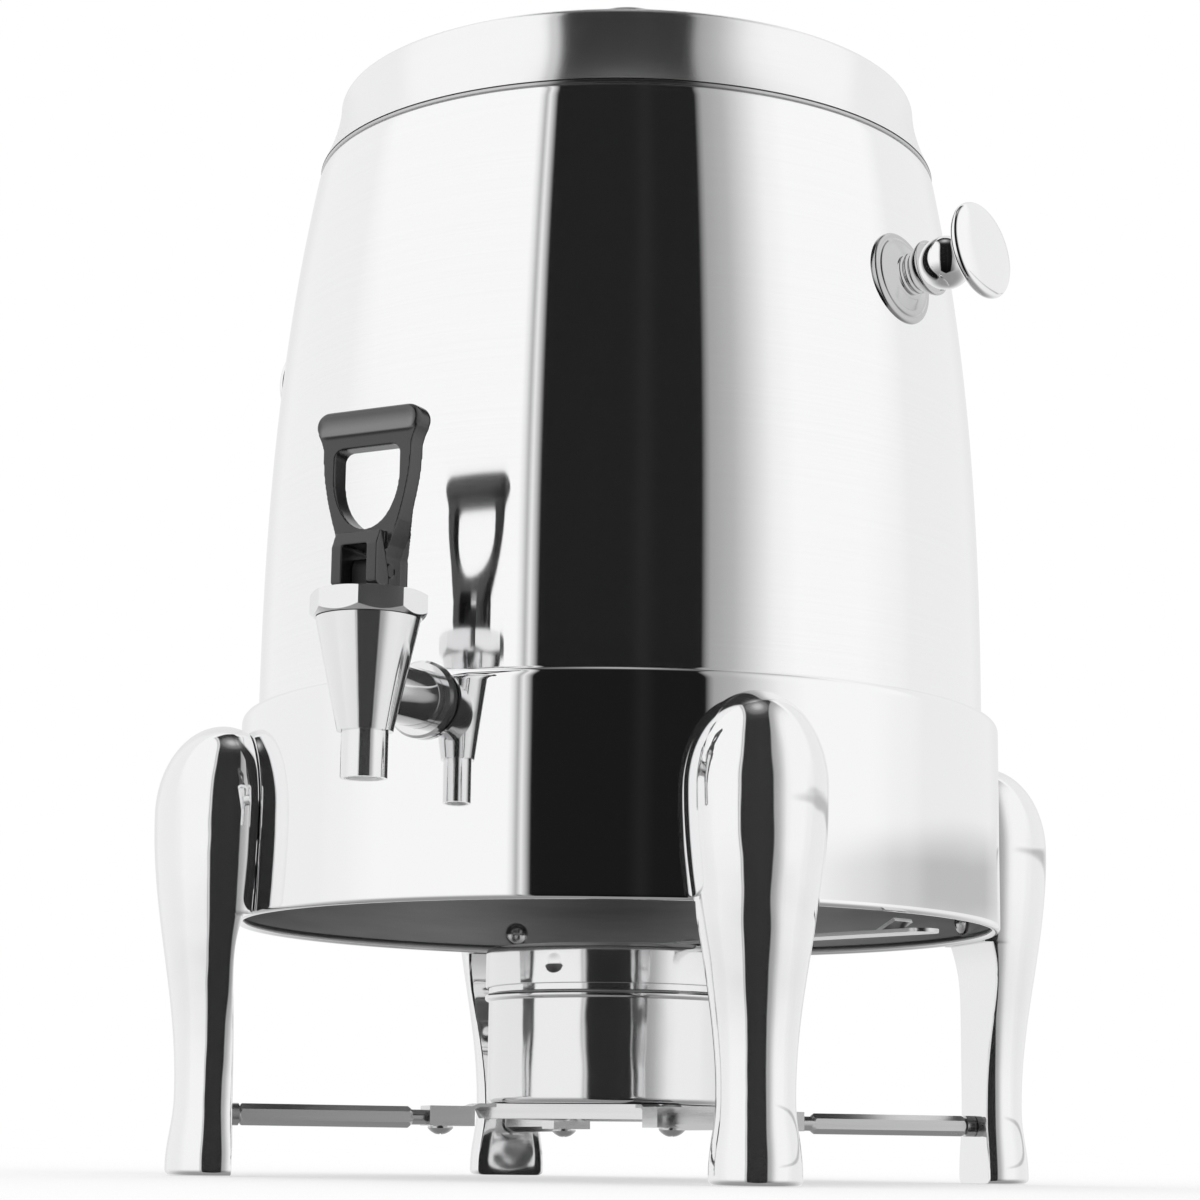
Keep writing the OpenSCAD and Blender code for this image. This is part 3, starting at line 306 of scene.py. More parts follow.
# %% [markdown]
# The metals. Brushed sheet blurs reflections across the brushing, so it is anisotropic around the axis. Polished
# sheet is a sharp mirror. All are neutral steel, a little darker where the sheet was left as it was drawn.

# %% Metal materials
def brushed_metal(name, tone, roughness, contrast, lines=2200, spread=0.05, stretch=1.0, metallic=1.0):
    made, tree, shader = new_material(name)
    rings = node_of(tree, "ShaderNodeGroup", {"Lines Per Metre": lines, "Contrast": contrast, "Roughness": roughness,
                                              "Roughness Spread": spread}, node_tree=brushed_rings)
    tangent = node_of(tree, "ShaderNodeTangent", direction_type="RADIAL", axis="Z")
    feed(tree, shader, {
        "Metallic": metallic, "Anisotropic": stretch, "Anisotropic Rotation": 0.25, "Tangent": tangent.outputs[0],
        "Base Color": colour_mix(tree, "MULTIPLY", 1, (tone, tone, tone * 1.005, 1), rings.outputs["Tone"]),
        "Roughness": rings.outputs["Roughness"]})
    return made

def polished_metal(name, tone, roughness=0.03, waves=30, depth=0.1, smudge=0.02, metallic=1.0, turn=0.0):
    made, tree, shader = new_material(name)
    waver = node_of(tree, "ShaderNodeGroup", {"Waves Per Metre": waves, "Depth": depth, "Roughness": roughness,
                                              "Smudge": smudge}, node_tree=polish_waver)
    # Pieces that stand out from the body are nearer to the walls, so they show the gap a few degrees further round.
    shift = node_of(tree, "ShaderNodeVectorRotate", {"Vector": waver.outputs["Normal"], "Angle": math.radians(turn)},
                    rotation_type="Z_AXIS")
    feed(tree, shader, {"Metallic": metallic, "Base Color": (tone, tone, tone * 1.005, 1),
                        "Normal": shift.outputs[0], "Roughness": waver.outputs["Roughness"]})
    return made

shell_steel = brushed_metal("brushed_shell_steel", 0.93, 0.065, 0.06, spread=0.02, metallic=0.995)
lid_steel = brushed_metal("satin_lid_steel", 0.92, 0.19, 0.06, spread=0.03, stretch=0.9, metallic=0.975)
dull_steel = brushed_metal("dull_drawn_steel", 0.44, 0.42, 0.9, lines=60, spread=0.2, stretch=0.3)
tank_steel = brushed_metal("drawn_tank_steel", 0.62, 0.28, 0.3, lines=400)
bar_steel = brushed_metal("satin_bar_steel", 0.74, 0.24, 0.2, lines=900, stretch=0.0)
skirt_steel = polished_metal("mirror_skirt_steel", 0.92, 0.025, waves=14, depth=0.25)
cup_steel = polished_metal("mirror_cup_steel", 0.84, 0.08, waves=30, depth=0.6, metallic=0.97)
LEG_TURN = {"front_right": 0.0, "rear_right": 3.0, "rear_left": -8.0, "front_left": -8.0}
leg_chrome = {place: polished_metal("leg_chrome_" + place, 0.90, 0.03, waves=34, metallic=0.97, turn=turn,
                                    depth=0.9 if "front" in place else 0.25)
              for place, turn in LEG_TURN.items()}
knob_chrome = polished_metal("knob_chrome", 0.92, 0.05, waves=60, depth=0.05, turn=3.0)
rosette_steel = polished_metal("rosette_steel", 0.58, 0.12, waves=60, depth=0.05)
collar_steel = polished_metal("collar_steel", 0.58, 0.07, waves=60, depth=0.05, turn=8.0)
tap_chrome = polished_metal("tap_chrome", 0.84, 0.07, waves=60, depth=0.06, metallic=0.95, turn=-3.0)
pin_steel = polished_metal("blackened_pin_steel", 0.10, 0.25, waves=200, depth=0.05)
screw_steel = polished_metal("screw_steel", 0.62, 0.18, waves=200, depth=0.05, smudge=0.1)
print("metals:", len(bpy.data.materials) - 1)

# %% [markdown]
# The spout is left as it came from the mould inside: pale and rough.

# %% Rough bore
BORE_R, BORE_TOP = 6.2, 139.0

def rough_bore(material, axis_y, radius, top):
    """Makes the metal pale and rough within radius of the tap's axis, below top. All three are in metres."""
    tree, shader = material.node_tree, material.node_tree.nodes["Principled BSDF"]
    x, y, z = coordinates(tree)
    y = math_node(tree, "SUBTRACT", y, axis_y)
    away = math_node(tree, "SQRT", math_node(tree, "ADD", math_node(tree, "MULTIPLY", x, x),
                                             math_node(tree, "MULTIPLY", y, y)))
    inside = math_node(tree, "MULTIPLY", math_node(tree, "LESS_THAN", away, radius),
                       math_node(tree, "LESS_THAN", z, top))
    smooth = shader.inputs["Roughness"].links[0].from_socket
    metal = shader.inputs["Metallic"].default_value
    feed(tree, shader, {
        "Roughness": math_node(tree, "MAXIMUM", smooth, math_node(tree, "MULTIPLY", inside, 0.7)),
        "Metallic": math_node(tree, "SUBTRACT", metal, math_node(tree, "MULTIPLY", inside, metal - 0.1))})

rough_bore(tap_chrome, TAP_Y * MM, BORE_R * MM, BORE_TOP * MM)
print("bore roughened")

# %% [markdown]
# The handle is a dark moulded plastic with half a gloss. A very fine grain from the mould breaks the highlight.

# %% Plastic and rubber
def moulded(name, tone, roughness, grain, depth, gloss=1.45):
    made, tree, shader = new_material(name)
    place = tree.nodes.new("ShaderNodeTexCoord").outputs["Object"]
    noise = noise_node(tree, {"Vector": place, "Scale": grain, "Detail": 3})
    bump = node_of(tree, "ShaderNodeBump", {"Distance": 0.0002, "Strength": depth, "Height": noise})
    feed(tree, shader, {"Base Color": (tone, tone, tone * 1.03, 1), "IOR": gloss, "Normal": bump.outputs[0],
                        "Roughness": math_node(tree, "ADD", roughness, math_node(tree, "MULTIPLY", noise, 0.1))})
    return made

handle_plastic = moulded("handle_plastic", 0.010, 0.20, 1800, 0.08, gloss=1.75)
valve_plastic = moulded("valve_plastic", 0.022, 0.42, 1500, 0.2)
seal_rubber = moulded("seal_rubber", 0.015, 0.6, 900, 0.3)
print("plastics made")

# %% [markdown]
# Spun metal is a profile turned about an axis. The lathe below takes the profile as points of radius and height in
# millimetres, and turns it with enough steps to keep a mirror smooth. Corners are given with a radius, and a small
# helper rounds them, so every edge catches a line of light.

# %% Lathe and profile helpers
def arc_points(centre, radius, start, end, count=10):
    return [(centre[0] + radius * math.cos(math.radians(start + (end - start) * i / count)),
             centre[1] + radius * math.sin(math.radians(start + (end - start) * i / count)))
            for i in range(count + 1)]

def rounded(points, closed=True, steps=5):
    """Points are (r, z, corner radius). Returns (r, z) with each corner rounded."""
    out = []
    count = len(points)
    for i, (r, z, radius) in enumerate(points):
        here = Vector((r, z))
        if radius <= 0 or (not closed and i in (0, count - 1)):
            out.append((r, z))
            continue
        before = Vector(points[i - 1][:2]) - here
        after = Vector(points[(i + 1) % count][:2]) - here
        reach = min(radius, before.length * 0.49, after.length * 0.49)
        a, b = here + before.normalized() * reach, here + after.normalized() * reach
        for k in range(steps + 1):
            t = k / steps
            p = a * (1 - t) ** 2 + here * 2 * t * (1 - t) + b * t ** 2
            out.append((p.x, p.y))
    return out

def add_object(name, mesh, node_names, body, materials, sharp=35):
    for material in materials:
        mesh.materials.append(material)
    mesh.shade_smooth()
    mesh.set_sharp_from_angle(angle=math.radians(sharp))
    obj = linked(name, mesh)
    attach(obj, body)
    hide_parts(*node_names)
    return obj

def lathe_mesh(name, profile, turns=192, closed=True, at=None, paint=None, shape=None):
    """Turns a profile of (r, z) in millimetres. paint gives a material index for each stretch of it, and shape may
    move a point, given its radius, height and angle."""
    bm = bmesh.new()
    at = at or Matrix.Identity(4)
    rings = []
    for r, z in profile:
        if r < 1e-6:
            rings.append([bm.verts.new(at @ Vector((0, 0, z * MM)))])
            continue
        ring = []
        for k in range(turns):
            angle = math.tau * k / turns
            radius, height = shape(r, z, angle) if shape else (r, z)
            ring.append(bm.verts.new(at @ Vector((radius * math.sin(angle) * MM, -radius * math.cos(angle) * MM,
                                                  height * MM))))
        rings.append(ring)
    pairs = list(zip(rings, rings[1:])) + ([(rings[-1], rings[0])] if closed else [])
    for index, (low, high) in enumerate(pairs):
        for k in range(turns):
            k2 = (k + 1) % turns
            if len(low) == 1 and len(high) == 1:
                break
            if len(low) == 1:
                face = (low[0], high[k2], high[k])
            elif len(high) == 1:
                face = (low[k], low[k2], high[0])
            else:
                face = (low[k], low[k2], high[k2], high[k])
            made = bm.faces.new(face)
            if paint:
                made.material_index = paint(index)
    return finished(bm, name)

print("lathe ready")

# %% [markdown]
# The skirt is a ring of polished sheet. Its lower edge is rolled into a bead, its top turns in to a ledge that carries
# the shell, and its inside was never polished.

# %% Skirt
SKIRT_R, SKIRT_LOW, SKIRT_TOP = 136.0, 87.0, 161.5
SHEET = 1.2
BEAD, BEAD_STEPS = 1.6, 22
CORNER_R, CORNER_STEPS = 4.0, 6
LEDGE_W = 17

def skirt_profile():
    bead = arc_points((SKIRT_R - BEAD, SKIRT_LOW + BEAD), BEAD, 0, -284.5, BEAD_STEPS)
    corner = (SKIRT_R - CORNER_R, SKIRT_TOP - CORNER_R)
    inner = arc_points(corner, CORNER_R - SHEET, 0, 90, CORNER_STEPS)
    ledge = [(SKIRT_R - LEDGE_W, SKIRT_TOP - SHEET), (SKIRT_R - LEDGE_W, SKIRT_TOP)]
    outer = arc_points(corner, CORNER_R, 90, 0, 2 * CORNER_STEPS)
    wall = [(SKIRT_R, SKIRT_TOP - CORNER_R - 0.6), (SKIRT_R, SKIRT_LOW + BEAD + 0.6)]
    return bead + inner + ledge + outer + wall

skirt_points = skirt_profile()
# The stretches of the profile from the bead's inner side to the ledge's edge.
skirt_inside = range(12, BEAD_STEPS + CORNER_STEPS + 3)
skirt = add_object("skirt_band_spun",
                   lathe_mesh("skirt_band_spun", skirt_points, 256,
                              paint=lambda i: 1 if i in skirt_inside else 0),
                   ["skirt_band"], "urn", [skirt_steel, dull_steel])
print("skirt faces:", len(skirt.data.polygons))

# %% [markdown]
# The shell stands on the ledge and draws in towards the lid, later and later the further up it goes. A power curve
# gives that bow with two numbers. The tank hangs inside it by a rim that lies on the shell's top edge.

# %% Shell and tank
SHELL_FOOT, SHELL_H, SHELL_DRAW, SHELL_BOW = 130.2, 202.5, 15.8, 2.5
WALL = 1.0  # The shell, the tank and the lid
SHELL_TOP = SKIRT_TOP + SHELL_H
SHELL_TOP_R = SHELL_FOOT - SHELL_DRAW

def shell_r(z):
    return SHELL_FOOT - SHELL_DRAW * max(0.0, (z - SKIRT_TOP) / SHELL_H) ** SHELL_BOW

def shell_lean(z):
    return math.atan(SHELL_DRAW * SHELL_BOW / SHELL_H * ((z - SKIRT_TOP) / SHELL_H) ** (SHELL_BOW - 1))

TOP_EDGE_H, TOP_EDGE_IN = 4.0, 0.8

def top_edge(z):
    """How far the shell's top edge is rolled in."""
    rise = max(0.0, (z - SHELL_TOP) / TOP_EDGE_H + 1)
    return TOP_EDGE_IN * (1 - math.sqrt(max(0.0, 1 - rise ** 2)))

levels = [SKIRT_TOP + (SHELL_H - TOP_EDGE_H) * i / 64 for i in range(65)]
rolled = [SHELL_TOP - TOP_EDGE_H * (1 - math.sin(math.pi / 2 * i / 12)) for i in range(1, 13)]
shell_points = ([(shell_r(z) - top_edge(z), z) for z in levels + rolled]
                + [(shell_r(z) - WALL, z) for z in reversed(levels + [SHELL_TOP])])
add_object("outer_shell_spun", lathe_mesh("outer_shell_spun", shell_points, 256),
           ["outer_shell"], "urn", [shell_steel])

TANK_R, TANK_LOW, TANK_CORNER, RIM = 110.8, 125.0, 12, 1.2
tank_corner = (TANK_R - TANK_CORNER, TANK_LOW + TANK_CORNER)
tank_points = ([(0, TANK_LOW)] + arc_points(tank_corner, TANK_CORNER, -90, 0)
               + rounded([(TANK_R, SHELL_TOP - 40, 0), (TANK_R, SHELL_TOP, 0.2), (SHELL_TOP_R, SHELL_TOP, 0.3),
                          (SHELL_TOP_R, SHELL_TOP + RIM, 0.5), (TANK_R - WALL, SHELL_TOP + RIM, 0.8),
                          (TANK_R - WALL, SHELL_TOP - 40, 0)], closed=False)
               + arc_points(tank_corner, TANK_CORNER - WALL, 0, -90) + [(0, TANK_LOW + WALL)])
add_object("water_tank_spun", lathe_mesh("water_tank_spun", tank_points, 192, closed=False),
           ["water_tank"], "urn", [tank_steel])
print("shell top radius:", SHELL_TOP_R)

# %% [markdown]
# The lid's wall flares out to meet the shell, and a small shoulder turns into a very low dome.

# %% Lid
LID_LOW = SHELL_TOP + RIM + 0.3
LID_FLARE, LID_FLARE_H, LID_SHOULDER, LID_CROWN = 7.0, 25.4, 3.2, 6.4
LID_WALL_R = SHELL_TOP_R - LID_FLARE
LID_ARC_Z, LID_ARC_R = LID_LOW + LID_FLARE_H, LID_WALL_R - LID_SHOULDER
CROWN_R = (LID_ARC_R ** 2 + LID_CROWN ** 2 - LID_SHOULDER ** 2) / (2 * (LID_CROWN - LID_SHOULDER))
CROWN_Z = LID_ARC_Z + LID_CROWN
CROWN_ANGLE = math.degrees(math.asin(LID_ARC_R / (CROWN_R - LID_SHOULDER)))

def lid_line(inset):
    flare = [(LID_WALL_R - inset + LID_FLARE * (1 - i / 24) ** 1.75, LID_LOW + LID_FLARE_H * i / 24)
             for i in range(25)]
    shoulder = arc_points((LID_ARC_R, LID_ARC_Z), LID_SHOULDER - inset, 0, 90 - CROWN_ANGLE, 24)
    dome = [((CROWN_R - inset) * math.sin(math.radians(a)),
             CROWN_Z - CROWN_R + (CROWN_R - inset) * math.cos(math.radians(a)))
            for a in (CROWN_ANGLE * (1 - i / 24) for i in range(1, 25))]
    return flare + shoulder[1:] + dome

lid_outside = lid_line(0)
add_object("lid_cover_spun",
           lathe_mesh("lid_cover_spun", lid_outside + list(reversed(lid_line(WALL))), 256,
                      paint=lambda i: 0 if i < len(lid_outside) else 1),
           ["lid_cover"], "lid", [lid_steel, tank_steel])
print("crown height:", round(CROWN_Z, 1))

# %% [markdown]
# One knob pattern serves the lid and both sides: a rosette, a cup-shaped collar, a ball and a dished disc, all
# turned. It is drawn once along Z and then set on the lid's crown or square to the shell. The knobs are left out of
# reflections, which keeps the shell clear around them.

# %% Knobs
SIDE_KNOB_Z, SIDE_BEARING, SIDE_SPREAD = 307.0, 78, 184
HUG_R, HUG_GAP = 121.0, 0.2  # The curve of the side rosettes' backs

def knob_line():
    ball = arc_points((0, 19), 9.2, -51.4, 52.5, 24)
    rim = arc_points((15.4, 33.0), 1.6, -90, 70, 10)
    return ([(0, 11.6), (5.6, 11.6)] + ball
            + rounded([(5.6, 26.3, 0), (5.6, 29.8, 0.8), (8.4, 30.7, 1.0), (13.9, 31.5, 1.0), (15.4, 31.4, 0)], False)
            + rim + [(12.2, 35.6), (6.8, 35.9), (0, 36)])

def collar_line():
    return [(0, 4)] + rounded([
        (7.4, 4, 0.2), (7.4, 5, 0.4), (6.4, 5.4, 0.3), (6.4, 6, 0.3), (7.6, 6.4, 0.4), (7.6, 7.2, 0.4),
        (6.5, 7.6, 0.3), (6.6, 8.2, 0.6), (7.6, 9.4, 1.0), (8.9, 10.8, 1.0), (9.8, 12.6, 0.6), (9.8, 13.4, 0.3),
        (8.9, 13.4, 0.3), (8.9, 11.6, 0)], False) + [(0, 11.6)]

def rosette_line(back):
    return [(0, back)] + rounded([
        (16.4, back, 0), (16.4, 0.9, 0.4), (15.6, 1.5, 0.4), (14.3, 1.4, 0.5), (13.6, 2.2, 0.5), (12.4, 2.3, 0.8),
        (9.6, 3.3, 1.5), (8, 4, 0.6)], False)[:-1] + [(8, 4), (0, 4)]

def side_axis(bearing):
    lean = shell_lean(SIDE_KNOB_Z)
    return (Matrix.Rotation(math.radians(bearing), 4, "Z")
            @ Matrix.Translation((0, -shell_r(SIDE_KNOB_Z) * MM, SIDE_KNOB_Z * MM))
            @ Matrix.Rotation(math.radians(90) - lean, 4, "X"))

def hug_shell(r, z, angle):
    """Lowers the rosette's back edge to the shell's curve."""
    drop = (r * math.sin(angle)) ** 2 / (2 * HUG_R)
    return (r, z - drop + HUG_GAP) if z < 0.5 else (r, z)

lid_axis = Matrix.Translation((0, 0, CROWN_Z * MM))
knob_sets = [("lid_knob", "lid_knob_collar", "lid_knob_rosette", lid_axis, "lid", 0.2),
             ("knob_right", "knob_collar_right", "knob_rosette_right", side_axis(SIDE_BEARING), "urn", 0.0),
             ("knob_left", "knob_collar_left", "knob_rosette_left", side_axis(SIDE_BEARING + SIDE_SPREAD), "urn", 0.0)]
for knob, collar, rosette, axis, body, back in knob_sets:
    for node, line, shape, metal in (
            (knob, knob_line(), None, knob_chrome), (collar, collar_line(), None, collar_steel),
            (rosette, rosette_line(back), hug_shell if body == "urn" else None, rosette_steel)):
        piece = add_object(node + "_turned",
                           lathe_mesh(node + "_turned", line, 96, closed=False, at=axis, shape=shape),
                           [node], body, [metal])
        piece.visible_glossy = False
    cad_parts[knob.replace("knob", "knob_stud")].visible_glossy = False
print("knob sets:", len(knob_sets))

# %% [markdown]
# A leg is a turned post: a slender waist, a full shoulder and a round top. Its back is planed flat below the skirt
# and hollowed to the skirt's curve above, so each level is a circle with one side cut away. Blending the circle into
# the cut gives the softened corner that polishing leaves.

# %% Leg shape
LEG_RING, LEG_TOP, LEG_FULL_R, LEG_FULL_Z = 144.0, 153.0, 22.8, 122.0
LEG_WAIST_R, LEG_WAIST_Z, LEG_FOOT_R, LEG_EDGE = 12.4, 26.0, 14.6, 2.0
LEG_BACK, LEG_BOW, LEG_BOW_RISE = 138.2, 2.4, 3.5
# CORNER softens the corners of the cut. Beyond the angle FRONT, every level has its points at the same angles.
CORNER, FRONT = 0.4, math.radians(100)

def ease(t):
    return (1 - math.cos(math.pi * t)) / 2

def leg_r(z):
    return LEG_WAIST_R + (LEG_FULL_R - LEG_WAIST_R) * ease((z - LEG_WAIST_Z) / (LEG_FULL_Z - LEG_WAIST_Z))

def leg_levels():
    foot = arc_points((LEG_FOOT_R - LEG_EDGE, LEG_EDGE), LEG_EDGE, -90, 0, 8)
    ankle = [(LEG_FOOT_R + (LEG_WAIST_R - LEG_FOOT_R) * ease(i / 12),
              LEG_EDGE + 1 + (LEG_WAIST_Z - LEG_EDGE - 1) * i / 12) for i in range(1, 13)]
    calf = [(LEG_WAIST_R + (LEG_FULL_R - LEG_WAIST_R) * ease(i / 40),
             LEG_WAIST_Z + (LEG_FULL_Z - LEG_WAIST_Z) * i / 40) for i in range(1, 41)]
    top = [(LEG_FULL_R * math.cos(math.radians(a)), LEG_FULL_Z + (LEG_TOP - LEG_FULL_Z) * math.sin(math.radians(a)))
           for a in (90 * i / 24 for i in range(1, 24))]
    step = [(leg_r(SKIRT_LOW + side), SKIRT_LOW + side) for side in (-0.02, 0.02)]
    return sorted(foot + ankle + calf + top + step, key=lambda level: level[1])

def back_distance(z, angle):
    """Distance from the leg's axis to its cut back, in the direction angle, counted from inwards."""
    cosine = math.cos(angle)
    if cosine <= 0.02:
        return 1000.0
    if z < SKIRT_LOW:
        return (LEG_RING - LEG_BACK - LEG_BOW * math.sin(math.pi * (z / SKIRT_LOW) ** LEG_BOW_RISE)) / cosine
    half = LEG_RING * cosine
    inside = half ** 2 - (LEG_RING ** 2 - (SKIRT_R + 0.2) ** 2)
    return half - math.sqrt(inside) if inside > 0 else 1000.0

def leg_mesh(name, bearing):
    bm = bmesh.new()
    turn = Matrix.Rotation(math.radians(bearing), 4, "Z")
    rings = []
    for r, z in leg_levels():
        corner = next((a for a in (math.radians(90 - k * 0.25) for k in range(290)) if back_distance(z, a) < r), 0.3)
        back = [corner * k / 8 for k in range(-7, 8)]
        near = [corner + step for step in (-0.03, -0.015, 0.0, 0.015, 0.03, 0.06)]
        between = [max(near) + (FRONT - max(near)) * (k + 1) / 12 for k in range(12)]
        rest = [FRONT + (math.pi - FRONT) * (k + 1) / 36 for k in range(36)]
        side = sorted(near + between + rest)
        angles = [-a for a in reversed(side[:-1])] + back + side
        ring = []
        for angle in angles:
            cut_at = back_distance(z, angle)
            reach = -CORNER * math.log(math.exp(-r / CORNER) + math.exp(-min(cut_at, r + 20) / CORNER))
            ring.append(bm.verts.new(turn @ Vector((reach * math.sin(angle) * MM,
                                                    (-LEG_RING + reach * math.cos(angle)) * MM, z * MM))))
        rings.append(ring)
    bridge(bm, rings)
    bm.faces.new(list(reversed(rings[0])))
    peak = bm.verts.new(turn @ Vector((0, -LEG_RING * MM, LEG_TOP * MM)))
    for k in range(len(rings[-1])):
        bm.faces.new((rings[-1][k], rings[-1][(k + 1) % len(rings[-1])], peak))
    return finished(bm, name)

for i, place in enumerate(("front_right", "rear_right", "rear_left", "front_left")):
    name = "leg_" + place
    add_object(name + "_polished", leg_mesh(name + "_polished", 45 + 90 * i), [name], "urn",
               [leg_chrome[place]], sharp=40)
print("leg levels:", len(leg_levels()))

# %% [markdown]
# The fuel cup is drawn sheet with a bead rolled into its side. Its cap is a second, shallow cup, held by three
# dimples punched into its side.

# %% Fuel cup and cap
CUP_R, CUP_LOW, CUP_TOP, CAP_R, CAP_TOP, CAP_H = 45.4, 25.8, 79.0, 46.6, 80.2, 14.0
BEAD_AT = CUP_LOW + 36.9

cup_points = ([(0, CUP_LOW)] + arc_points((CUP_R - 2, CUP_LOW + 2), 2, -90, 0)
              + [(CUP_R, CUP_LOW + 2.6), (CUP_R, BEAD_AT - 2.4)]
              + rounded([(CUP_R, BEAD_AT - 2.2, 0), (CUP_R, BEAD_AT - 1.5, 0.5)], False)
              + arc_points((CUP_R, BEAD_AT), 1.4, -75, 75, 12) + [(CUP_R, BEAD_AT + 1.5), (CUP_R, BEAD_AT + 2.2)]
              + rounded([(CUP_R, CUP_TOP - 1, 0), (CUP_R, CUP_TOP, 0.3), (CUP_R - 1, CUP_TOP, 0.3),
                         (CUP_R - 1, CUP_TOP - 1, 0)], False)
              + arc_points((CUP_R - 2, CUP_LOW + 2), 1, 0, -90) + [(0, CUP_LOW + 1)])
add_object("fuel_cup_drawn", lathe_mesh("fuel_cup_drawn", cup_points, 192, closed=False),
           ["fuel_cup"], "cup", [cup_steel])

DIMPLES = (0, 120, 240)
DIMPLE_R, DIMPLE_DEPTH, DIMPLE_Z = 3.5, 0.7, CAP_TOP - CAP_H / 2

def dimple(r, z, angle):
    """Pushes the cap's outside in around each dimple."""
    if r < CAP_R - 0.5:
        return r, z
    turns = (abs((math.degrees(angle) - at + 180) % 360 - 180) for at in DIMPLES)
    away = math.hypot(math.radians(min(turns)) * CAP_R, z - DIMPLE_Z) / DIMPLE_R
    return r - DIMPLE_DEPTH * max(0.0, 1 - away ** 2) ** 1.3, z

cap_side = [(CAP_R, DIMPLE_Z - 4 + 8 * i / 24) for i in range(25)]
cap_points = (rounded([(CAP_R - 1, CAP_TOP - CAP_H, 0.2), (CAP_R, CAP_TOP - CAP_H, 0.4), (CAP_R, DIMPLE_Z - 4.2, 0)],
                      False)
              + cap_side + arc_points((CAP_R - 2, CAP_TOP - 2), 2, 0, 90)
              + rounded([(24, CAP_TOP, 0), (20, CAP_TOP, 0.3), (20, CAP_TOP - 1, 0.3), (24, CAP_TOP - 1, 0)], False)
              + [(CAP_R - 1, CAP_TOP - 1)])
add_object("fuel_cap_drawn", lathe_mesh("fuel_cap_drawn", cap_points, 384, shape=dimple),
           ["fuel_cap"], "cup", [cup_steel])
print("cup and cap made")

# %% [markdown]
# The handle is moulded in one piece: a fork over the valve's stem, a loop, and a grip on top. It is cut from simple
# prisms, and then remeshed and smoothed, which rounds every edge as a mould does. The finger hollow on the grip's
# front and the recesses in the fork's cheeks are pressed in last.

# %% Tap handle
PIN_Z = 186.5
HEEL, CAM, TILT = 6.2, 4.5, 40
FORK_UP, FORK_W = 12.0, 16.6
LOOP_H, LOOP_FOOT, LOOP_W, LOOP_SIDE, LOOP_BAR, LOOP_D = 31.4, 22.0, 32.6, 4.2, 3.4, 7.2
OPENING_LOW, OPENING_TOP, OPENING_RISE, OPENING_CORNER = 1.6, LOOP_H - LOOP_BAR, 18.0, 3.0
GRIP_L, GRIP_H, GRIP_D, GRIP_EDGE = 38.4, 9.2, 9.6, 2.4
HOLLOW_R, HOLLOW_DEPTH, CHEEK_DEPTH = 3.5, 1.0, 1.0
SLOT_TOP, SLOT_HALF, PIN_HOLE_R = 7.6, 4.5, 2.06
# The prisms that cut reach PAST the handle, and the voxels are fine enough to keep its edges.
PAST, VOXEL = 20, 0.36
GRIP_FLAT, GRIP_Z = GRIP_L / 2 - GRIP_H / 2, FORK_UP + LOOP_H + GRIP_H / 2
FORK_BACK = (HEEL + CAM * math.radians(TILT)) * math.sin(math.radians(TILT)) + CAM * math.cos(math.radians(TILT))

def heel_point(tilt):
    reach, a = HEEL + CAM * math.radians(tilt), math.radians(tilt)
    return (-reach * math.sin(a) - CAM * math.cos(a), -reach * math.cos(a) + CAM * math.sin(a))

def loop_half(h):
    return LOOP_FOOT / 2 + (LOOP_W - LOOP_FOOT) / 2 * math.sin(math.radians(min(90, 104 * max(0, h) / LOOP_H)))

def opening_half(h):
    low = min(1, (h - OPENING_LOW) / OPENING_RISE)
    top = max(0, h - OPENING_TOP + OPENING_CORNER) / OPENING_CORNER
    return ((LOOP_W / 2 - LOOP_SIDE) * math.sqrt(1 - (1 - low) ** 2)
            - OPENING_CORNER * (1 - math.sqrt(max(0, 1 - top ** 2))))

def prism(name, outline, half, across):
    """A prism of outline (u, z). across is the axis that it is stretched along: 0 for x, 1 for y."""
    bm = bmesh.new()
    ends = []
    for side in (-half, half):
        ends.append([bm.verts.new(Vector((side, u, z) if across == 0 else (u, side, z)) * MM) for u, z in outline])
    bm.faces.new(ends[0])
    bm.faces.new(list(reversed(ends[1])))
    for k in range(len(outline)):
        k2 = (k + 1) % len(outline)
        bm.faces.new((ends[0][k], ends[1][k], ends[1][k2], ends[0][k2]))
    return linked(name, finished(bm, name))

def circle(radius, count=32):
    return [(radius * math.cos(math.tau * k / count), radius * math.sin(math.tau * k / count)) for k in range(count)]

def baked(obj):
    """The object's mesh with its modifiers worked in."""
    graph = bpy.context.evaluated_depsgraph_get()
    return bpy.data.meshes.new_from_object(obj.evaluated_get(graph))

def mirrored(half):
    """A closed outline from the points of its right half."""
    return half + [(-x, z) for x, z in reversed(half) if x > 0]

def make_grip():
    """The bar, as outlines stacked from its front to its back. The first and last ones are drawn in."""
    turn = [math.radians(15 * k) for k in range(7)]
    front = [(GRIP_EDGE * (1 - math.sin(a)), -GRIP_D / 2 + GRIP_EDGE * (1 - math.cos(a))) for a in turn]
    rows = front + [(inset, -y) for inset, y in reversed(front)]
    bm = bmesh.new()
    rings = []
    for inset, y in rows:
        end = GRIP_H / 2 - inset
        rings.append([bm.verts.new(Vector((side * GRIP_FLAT + end * math.cos(math.radians(a)), y,
                                           GRIP_Z + end * math.sin(math.radians(a)))) * MM)
                      for side, start in ((1, -90), (-1, 90)) for a in range(start, start + 181, 12)])
    bridge(bm, rings)
    bm.faces.new(list(reversed(rings[0])))
    bm.faces.new(rings[-1])
    return linked("grip", finished(bm, "grip"))

def cut_with(obj, operation, tool):
    cut = obj.modifiers.new(operation.lower(), "BOOLEAN")
    cut.operation = operation
    cut.object = tool
    cut.solver = "EXACT"

